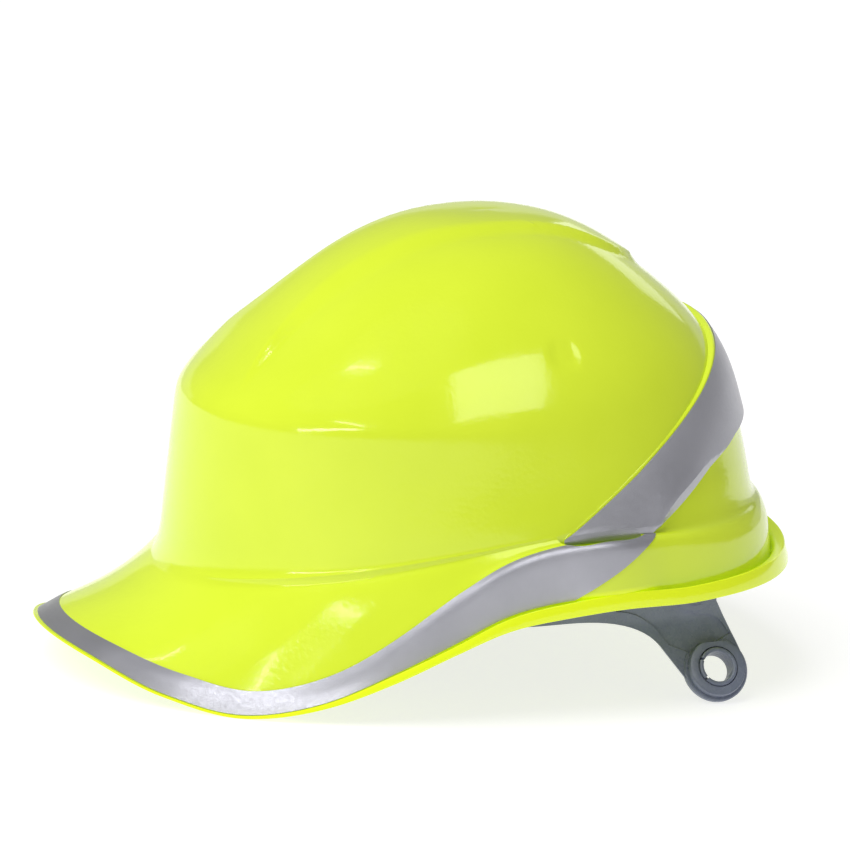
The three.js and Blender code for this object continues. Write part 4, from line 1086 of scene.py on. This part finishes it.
def crown_strap(name, degrees, layer):
    """Webbing in the upright plane at an angle, from clip to clip over the crown, with a woven surface."""
    inset = CLIP["wallGap"] + CLIP["depth"] / 2
    ends = [np.array(wall_point(degrees + turn, inset)) for turn in (0, 180)]
    low = CLIP["low"] + CLIP["height"] - 5
    rise = STRAP["top"] - low + layer * STRAP["spacing"]
    chord = unit(ends[0] - ends[1])
    over_crown = np.array([-chord[1], chord[0], 0])
    crown = np.array([0, PLAN_CENTRE_Y, 0.0])
    steps, columns = 480, 25
    turn = np.pi * np.arange(steps + 1) / steps
    first = (np.arange(steps + 1) <= steps / 2)[:, None]
    end = np.where(first, ends[0], ends[1])
    tangents = [np.array(wall_tangent(degrees)), -np.array(wall_tangent(degrees + 180))]
    along_wall = np.where(first, tangents[0], tangents[1])
    across = unit(along_wall + (over_crown - along_wall) * np.sin(turn)[:, None])
    out = end - crown
    place = crown + out * (np.abs(np.cos(turn)) ** STRAP["power"])[:, None]
    place[:, 2] = low + rise * np.maximum(np.sin(turn), 0) ** STRAP["power"]
    level = unit(out) * np.abs(np.cos(turn))[:, None]
    normal = unit(level + np.array([0, 0, 1]) * np.sin(turn)[:, None])
    along = np.concatenate([[0], np.cumsum(np.linalg.norm(np.diff(place, axis=0), axis=-1))])
    side = np.linspace(-1, 1, columns)
    phase = along[:, None] * WEAVE["along"] + np.abs(side)[None, :] * WEAVE["across"]
    weave = WEAVE["height"] * np.sin(phase)
    edge = WEAVE["thinner"] * smooth((np.abs(side) - WEAVE["selvedge"]) / (1 - WEAVE["selvedge"]))
    half = STRAP["thickness"] / 2

    def face(sign):
        lift = sign * (half - WEAVE["inset"] - edge[None, :] + weave)
        spread = across[:, None, :] * side[None, :, None] * STRAP["width"] / 2
        return place[:, None, :] + spread + normal[:, None, :] * lift[..., None]

    strap = slab("strap", face(1), face(-1))
    return finish_piece(strap, f"webbing_{name}", "root", "webbing", WEBBING, f"crown_strap_{name}", sharp=60)


# ---------------------------------------------------------------- soft pads
def simulate(obj):
    """Lets cloth swell under a little pressure for 20 frames."""
    cloth = obj.modifiers.new("cloth", "CLOTH")
    cloth.settings.use_pressure = True
    cloth.settings.uniform_pressure_force = 4
    cloth.settings.effector_weights.gravity = 0
    cloth.settings.quality = 5
    scene = bpy.context.scene
    scene.frame_start, scene.frame_end = 1, 20
    cloth.point_cache.frame_start, cloth.point_cache.frame_end = 1, 20
    for number in range(1, 21):
        scene.frame_set(number)
    bpy.context.view_layer.objects.active = obj
    bpy.ops.object.modifier_apply(modifier=cloth.name)
    scene.frame_set(1)


def inflate(obj, voxel, cap):
    """Swells a closed pad with a short cloth simulation, and no point moves further than cap."""
    apply_modifier(obj, "REMESH", mode="VOXEL", voxel_size=voxel * MM)
    rest = vertex_points(obj)
    simulate(obj)
    move = vertex_points(obj) - rest
    length = np.linalg.norm(move, axis=-1, keepdims=True)
    limited = rest + move * np.minimum(1, cap * MM / np.maximum(length, 1e-9))
    obj.data.vertices.foreach_set("co", limited.ravel())
    apply_modifier(obj, "SMOOTH", factor=0.5, iterations=3)
    apply_modifier(obj, "SUBSURF", levels=1)


def make_sweatband():
    heights = np.linspace(HEADBAND["high"] - 2, HEADBAND["low"] + 3, 8)
    band = band_slab("sweatband_pad", HEADBAND["thickness"] + 1.0, 3.4, heights, 20)
    boolean(band, box_prism("front", (-THROUGH, THROUGH), (-130, -31), (-60, 60)), "INTERSECT")
    inflate(band, voxel=2.2, cap=0.5)
    return finish_piece(band, "sweatband_pad", "root", "soft_padding", TOWELLING, "sweatband", sharp=180)


def make_nape_pad():
    back = HOUSING["front"] - HOUSING["cover"] - 2 * GAP
    room = 0.8  # left for the swelling
    outline = stadium(PAD["half"] - room, PAD["radius"] - room)
    pad = prism("nape_cushion", outline, back - PAD["thickness"] + 1.2, back - room, "y", NAPE_LAYOUT)
    inflate(pad, voxel=1.8, cap=room)
    return finish_piece(pad, "nape_cushion", "nape_yoke", "soft_padding", TOWELLING, "nape_pad", sharp=180)


# ---------------------------------------------------------------- the nape strap and its ratchet
TOOTH_PITCH = 2 * math.pi * PINION["pitchRadius"] / PINION["teeth"]
ALONG_Y = Matrix.Rotation(-math.pi / 2, 4, "X")  # takes a piece turned about Z to the knob's axis
HOUSING_SPAN = (50, 90)  # from in front of the housing to behind the knob, for bores


def rod_y(name, radius, low, high, count=96):
    return rod(name, radius, low, high, NAPE_LAYOUT @ ALONG_Y, count)


def gear_outline(wheel, phase=0.0):
    """A toothed wheel's outline. With the tip radius under the root radius, the teeth point inwards."""
    outline = []
    for k in range(wheel["teeth"]):
        centre = phase + k * 2 * math.pi / wheel["teeth"]
        flank = [(wheel[end], wheel[end + "Width"] / 2 / wheel[end]) for end in ("root", "tip")]
        corners = [(radius, -turn) for radius, turn in flank] + flank[::-1]
        outline += [(r * math.cos(centre + turn), r * math.sin(centre + turn)) for r, turn in corners]
    return outline


def rack_outline():
    """The rack in (x, z): a bar above the pinion whose teeth point down."""
    tip, mouth, top = RACK["tip"], RACK["mouth"], NAPE["height"] / 2
    step = mouth - 4  # where the bar widens to the strap's whole height
    root, end = RACK_TOOTH["root"], RACK_TOOTH["tip"]
    root_half, end_half = RACK_TOOTH["rootWidth"] / 2, RACK_TOOTH["tipWidth"] / 2
    outline = [(mouth + 1, top), (-tip, top), (-tip, root)]
    for k in range(RACK["teeth"]):
        x = -tip + RACK["firstTooth"] + k * TOOTH_PITCH
        outline += [(x - root_half, root), (x - end_half, end), (x + end_half, end), (x + root_half, root)]
    outline += [(step - 2, root)]
    outline += quadratic((step - 2, root), (step, 5), (step, 0), 6)
    outline += [(step, -top), (mouth + 1, -top)]
    return outline


def nape_band(matrix):
    """The strap's curve round the head and its straight end, with a rim along both edges."""
    pivot_x, reach, straight = NAPE["pivotX"], NAPE["reach"], NAPE["straight"]
    top = NAPE["height"] / 2
    turn = np.linspace(0, np.pi / 2, 64)

    def plan(inset):
        x = straight + (pivot_x - inset - straight) * np.cos(turn)
        y = (reach - inset) * np.sin(turn)
        flat_x = np.linspace(straight, RACK["mouth"], 8)[1:]
        return np.stack([np.append(x, flat_x), np.append(y, np.full(7, reach - inset))], -1)

    heights = np.array([-top, -top + 0.4, -top + 1.9, -top + 2.4, top - 2.4, top - 1.9, top - 0.4, top])
    sunk = np.array([0.35, 0, 0, 0.4, 0.4, 0, 0, 0.35])
    outer, inner = plan(0), plan(NAPE["thickness"])
    inward = (inner - outer) / NAPE["thickness"]

    def grid(points, depth):
        moved = points[:, None, :] + inward[:, None, :] * depth[None, :, None]
        level = np.broadcast_to(heights[None, :, None], (len(points), len(heights), 1))
        return np.concatenate([moved, level], -1)

    return slab("strap", grid(outer, sunk), grid(inner, -0.3 * sunk), matrix)


def make_nape_strap(side, name):
    """An eye on the pivot, a curve round the head with a raised rim and vents, and a rack in the housing."""
    matrix = NAPE_LAYOUT if side > 0 else NAPE_LAYOUT @ Matrix.Rotation(math.pi, 4, "Y")
    reach, thickness, eye = NAPE["reach"], NAPE["thickness"], NAPE["eye"]
    strap = nape_band(matrix)
    eye_place = matrix @ Matrix.Translation((NAPE["pivotX"], 0, 0)) @ ALONG_X
    round_off = 0.4
    inside = -thickness - round_off
    boolean(strap, lathe("eye", [
        (0, inside), (eye - round_off, inside), (eye, -thickness),
        (eye, -round_off), (eye - round_off, 0), (0, 0),
    ], eye_place), "UNION")
    boolean(strap, prism("rack", rack_outline(), reach - thickness, reach, "y", matrix), "UNION")
    boolean(strap, rod("pin", PIVOT["stud"] + GAP, -20, 20, eye_place, 96), "DIFFERENCE")
    for k in range(VENT["count"]):
        place = matrix @ Matrix.Translation((0, VENT["first"] + k * VENT["spacing"], 0)) @ ALONG_X
        boolean(strap, rod("vent", VENT["radius"], 44, 90, place, 32), "DIFFERENCE")
    strap.name = f"nape_arm_{name}"
    shade(strap, 35)
    strap.data.materials.clear()
    strap.data.materials.append(SLATE)
    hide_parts(f"nape_strap_{name}")
    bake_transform(strap)
    return strap


def make_pinion():
    rack_phase = ((RACK["firstTooth"] - RACK["tip"]) / TOOTH_PITCH) % 1
    phase = math.pi / 2 + (0.5 - rack_phase) * 2 * math.pi / PINION["teeth"]
    middle, half = NAPE["reach"] - NAPE["thickness"] / 2, 0.7
    gear = prism("gear", gear_outline(PINION, phase), middle - half, middle + half, "y", NAPE_LAYOUT)
    boolean(gear, rod_y("hub", PINION["hub"], middle, KNOB_FACE - GAP, 64), "UNION")
    boolean(gear, rod_y("bore", AXLE["radius"] + GAP, *HOUSING_SPAN, 64), "DIFFERENCE")
    bevel(gear, 0.15)
    return finish_piece(gear, "pinion_gear", "knob", "slate_plastic", SLATE_DARK, "drive_pinion")


def make_housing():
    """The nape moulding: a channel for both racks, a bore for the hub and grips on its back."""
    back = HOUSING["back"]
    outline = stadium(HOUSING["half"], HOUSING["radius"])
    body = prism("housing", outline, HOUSING["front"], back, "y", NAPE_LAYOUT)
    bevel(body, 1.0, segments=4)
    channel_back = NAPE["reach"] + GAP
    channel_front = channel_back - NAPE["thickness"] - 2 * GAP - 3
    tall = (NAPE["height"] + 0.8) / 2
    channel = box_prism("channel", (-45, 45), (channel_front, channel_back), (-tall, tall), NAPE_LAYOUT)
    boolean(body, channel, "DIFFERENCE")
    boolean(body, rod_y("hub", PINION["hub"] + 0.5, *HOUSING_SPAN, 64), "DIFFERENCE")
    for side in (1, -1):
        for k in (-1, 0, 1):
            x = side * GRIP["x"] + k * GRIP["spacing"]
            ends = (x - GRIP["half"], x + GRIP["half"])
            tall = (-GRIP["halfHeight"], GRIP["halfHeight"])
            boolean(body, box_prism("grip", ends, (back - 0.5, back + 3), tall, NAPE_LAYOUT), "DIFFERENCE")
    return finish_piece(body, "housing_moulding", "nape_yoke", "slate_plastic", SLATE_DARK, "ratchet_housing")


def make_cover():
    front = HOUSING["front"] - GAP
    outline = stadium(HOUSING["half"] - 1, HOUSING["radius"] - 1)
    cover = prism("cover", outline, front - HOUSING["cover"], front, "y", NAPE_LAYOUT)
    bevel(cover, 0.6, segments=3)
    return finish_piece(cover, "cover_plate", "nape_yoke", "slate_plastic", SLATE_DARK, "housing_cover")


def make_knob():
    """A lobed wheel with the ratchet's teeth inside its front and a recess for the axle's head."""
    turn = np.arange(KNOB["lobes"] * 12) * 2 * np.pi / (KNOB["lobes"] * 12)
    lobe = KNOB["lobeDepth"] * (1 - np.cos(turn * KNOB["lobes"])) * 0.5
    start, end, radius = KNOB["start"], KNOB["end"], KNOB["radius"]
    profile = [
        (radius - 0.5, start), (radius, start + 0.5), (radius, end - 1.6), (radius - 0.5, end - 0.5),
        (radius - 1.6, end), (radius - 3.4, end), (radius - 4.2, end - 0.5), (7.4, end - 0.5), (6.8, end),
    ]
    rows = [
        np.stack([(r - lobe) * np.cos(turn), np.full(len(turn), y), (r - lobe) * np.sin(turn)], -1)
        for r, y in profile
    ]
    knob = capped("knob", rows, (0, start, 0), (0, end, 0), NAPE_LAYOUT)
    ratchet = prism("ratchet", gear_outline(RATCHET), start - 5, KNOB_FACE, "y", NAPE_LAYOUT)
    boolean(knob, ratchet, "DIFFERENCE")
    boolean(knob, rod_y("bore", AXLE["radius"] + GAP, *HOUSING_SPAN, 64), "DIFFERENCE")
    boolean(knob, rod_y("recess", AXLE["head"] + 0.8, end - AXLE["headRecess"], end + 5), "DIFFERENCE")
    return finish_piece(knob, "knob_moulding", "knob", "slate_plastic", SLATE, "ratchet_knob")


def make_spring():
    """A disc with two pawls that click into the knob's teeth."""
    base = HOUSING["back"] + GAP
    top = base + SPRING["thickness"]
    plate = rod_y("plate", SPRING["disc"], base, top)
    reach, half = SPRING["pawlReach"], SPRING["pawlWidth"] / 2
    lower = [(-reach, -0.4 * half), (-reach + 1.5, -half), (reach - 1.5, -half), (reach, -0.4 * half)]
    pawls = lower + [(-x, -z) for x, z in lower]
    boolean(plate, prism("pawls", pawls, base, top, "y", NAPE_LAYOUT), "UNION")
    boolean(plate, rod_y("hub", PINION["hub"] + 0.5, *HOUSING_SPAN, 64), "DIFFERENCE")
    bevel(plate, 0.2)
    return finish_piece(plate, "leaf_spring", "nape_yoke", "spring_steel", STEEL, "detent_spring")


def make_axle():
    """A pin with a round head, which has a cross cut into it for a driver."""
    front, end = HOUSING["front"] + GAP, KNOB["end"] - 1.2
    head = KNOB["end"] - AXLE["headRecess"] + GAP
    pin, wide = AXLE["radius"], AXLE["head"]
    axle = lathe("axle", [
        (0, front), (pin, front), (pin, head), (wide, head), (wide, end - 0.6), (wide - 0.6, end), (0, end),
    ], NAPE_LAYOUT @ ALONG_Y)
    for x, z in ((2.6, 0.5), (0.5, 2.6)):
        bar = box_prism("cross", (-x, x), (end - 0.7, end + 3), (-z, z), NAPE_LAYOUT)
        boolean(axle, bar, "DIFFERENCE")
    return finish_piece(axle, "axle_pin", "nape_yoke", "spring_steel", STEEL, "ratchet_axle")


# ---------------------------------------------------------------- the stage
def make_floor():
    size, segments, drop = 6.0, 24, 0.0002
    line = np.linspace(-size, size, segments + 1)
    x, y = np.meshgrid(line, line, indexing="ij")
    points = np.stack([x, y, np.full(x.shape, -drop)], -1)
    floor = new_object("floor", points, grid_faces(segments + 1, segments + 1), Matrix.Identity(4))
    floor.data.materials.append(floor_material())


def make_camera():
    """Level with the cap, from its left and a little ahead, and from about 1.7 m away."""
    azimuth, elevation = math.radians(72), math.radians(13.5)
    distance, view_width = 1700, 334.91
    target = Vector((0, -26, 55))
    level = math.cos(elevation)
    back = Vector((math.sin(azimuth) * level, -math.cos(azimuth) * level, math.sin(elevation)))
    across = Vector((math.cos(azimuth), math.sin(azimuth), 0))
    basis = Matrix((across, back.cross(across), back)).transposed().to_4x4()
    camera = bpy.data.objects.new("camera", bpy.data.cameras.new("camera"))
    camera.matrix_world = Matrix.Translation(LAYOUT @ (target + back * distance)) @ TURN @ basis
    camera.data.sensor_width = 36
    camera.data.lens = camera.data.sensor_width * distance / view_width
    camera.data.shift_x = 0.01647
    camera.data.shift_y = -0.01412
    camera.data.clip_end = 50
    bpy.context.scene.collection.objects.link(camera)
    bpy.context.scene.camera = camera


def facing(azimuth, elevation, distance):
    """A place round the cap that looks back at it. Azimuth 0 is in front and 90 on the cap's left."""
    azimuth, elevation = math.radians(azimuth), math.radians(elevation)
    level = math.cos(elevation)
    back = Vector((math.sin(azimuth) * level, -math.cos(azimuth) * level, math.sin(elevation)))
    turn = back.to_track_quat("Z", "Y").to_matrix().to_4x4()
    return Matrix.Translation(Vector((0, 0, 0.1)) + back * distance) @ turn


def add_light(name, light, matrix):
    made = bpy.data.objects.new(name, light)
    made.matrix_world = matrix
    bpy.context.scene.collection.objects.link(made)
    return made


def soft_box(name, azimuth, elevation, size, radiance, roll=0, distance=4):
    """A bright panel that only shows as a reflection."""
    light = bpy.data.lights.new(name, "AREA")
    light.shape = "RECTANGLE"
    light.size, light.size_y = size
    light.energy = radiance * math.pi * size[0] * size[1]
    matrix = facing(azimuth, elevation, distance) @ Matrix.Rotation(math.radians(roll), 4, "Z")
    panel = add_light(name, light, matrix)
    panel.visible_diffuse = False
    panel.visible_camera = False
    return panel


def key_light(azimuth, elevation, strength):
    """A wide soft light from far off, which lights the floor evenly."""
    light = bpy.data.lights.new("key", "SUN")
    light.angle = math.radians(45)
    light.energy = strength
    add_light("key", light, facing(azimuth, elevation, 3)).visible_glossy = False


def make_lights():
    """A soft key light, panels that show as the shell's highlights, and a glint for the tapes alone."""
    key_light(13, 60, 2.55)
    soft_box("backdrop", -108, -6, (9, 2.6), 0.32)
    soft_box("window", 90, 43, (0.62, 0.9), 2.8, distance=1.3)
    soft_box("front_low", 31, 10, (1.9, 0.3), 9, 30)
    soft_box("front_high", 37.5, 26.2, (1.1, 0.07), 13, -27)
    soft_box("strip", -6, 60.6, (0.7, 0.035), 20, 22)
    soft_box("rim", -130, 19, (0.5, 0.24), 1, distance=1.3)
    glint = soft_box("tape_glint", 46, 25, (1.6, 0.8), 7, -50)
    tapes = bpy.data.collections.new("tapes")
    for name in ("tape_edge", "tape_sash"):
        tapes.objects.link(bpy.data.objects[name])
    glint.light_linking.receiver_collection = tapes
    world = bpy.data.worlds.new("studio")
    world.use_nodes = True
    background = world.node_tree.nodes["Background"].inputs
    background["Color"].default_value = (1, 1, 1, 1)
    background["Strength"].default_value = 0.25
    bpy.context.scene.world = world
    bpy.context.scene.view_settings.view_transform = "Standard"


# ---------------------------------------------------------------- assembly
def make_cap():
    make_shell()
    edge_tape()
    sash_tape()
    make_headband()
    for side, name in ((1, "left"), (-1, "right")):
        make_bush(side, name)
        make_stud(side, name)
    for name, degrees in CLIPS.items():
        make_clip(name, degrees)
    crown_strap("lengthwise", 90, 0)
    crown_strap("left_rear", 32, 1)
    crown_strap("right_rear", 148, 2)
    make_sweatband()


def make_nape():
    make_nape_strap(1, "left")
    make_nape_strap(-1, "right")
    make_housing()
    make_cover()
    make_nape_pad()
    make_spring()
    make_axle()
    make_pinion()
    make_knob()


make_camera()
make_cap()
make_nape()
make_floor()
make_lights()
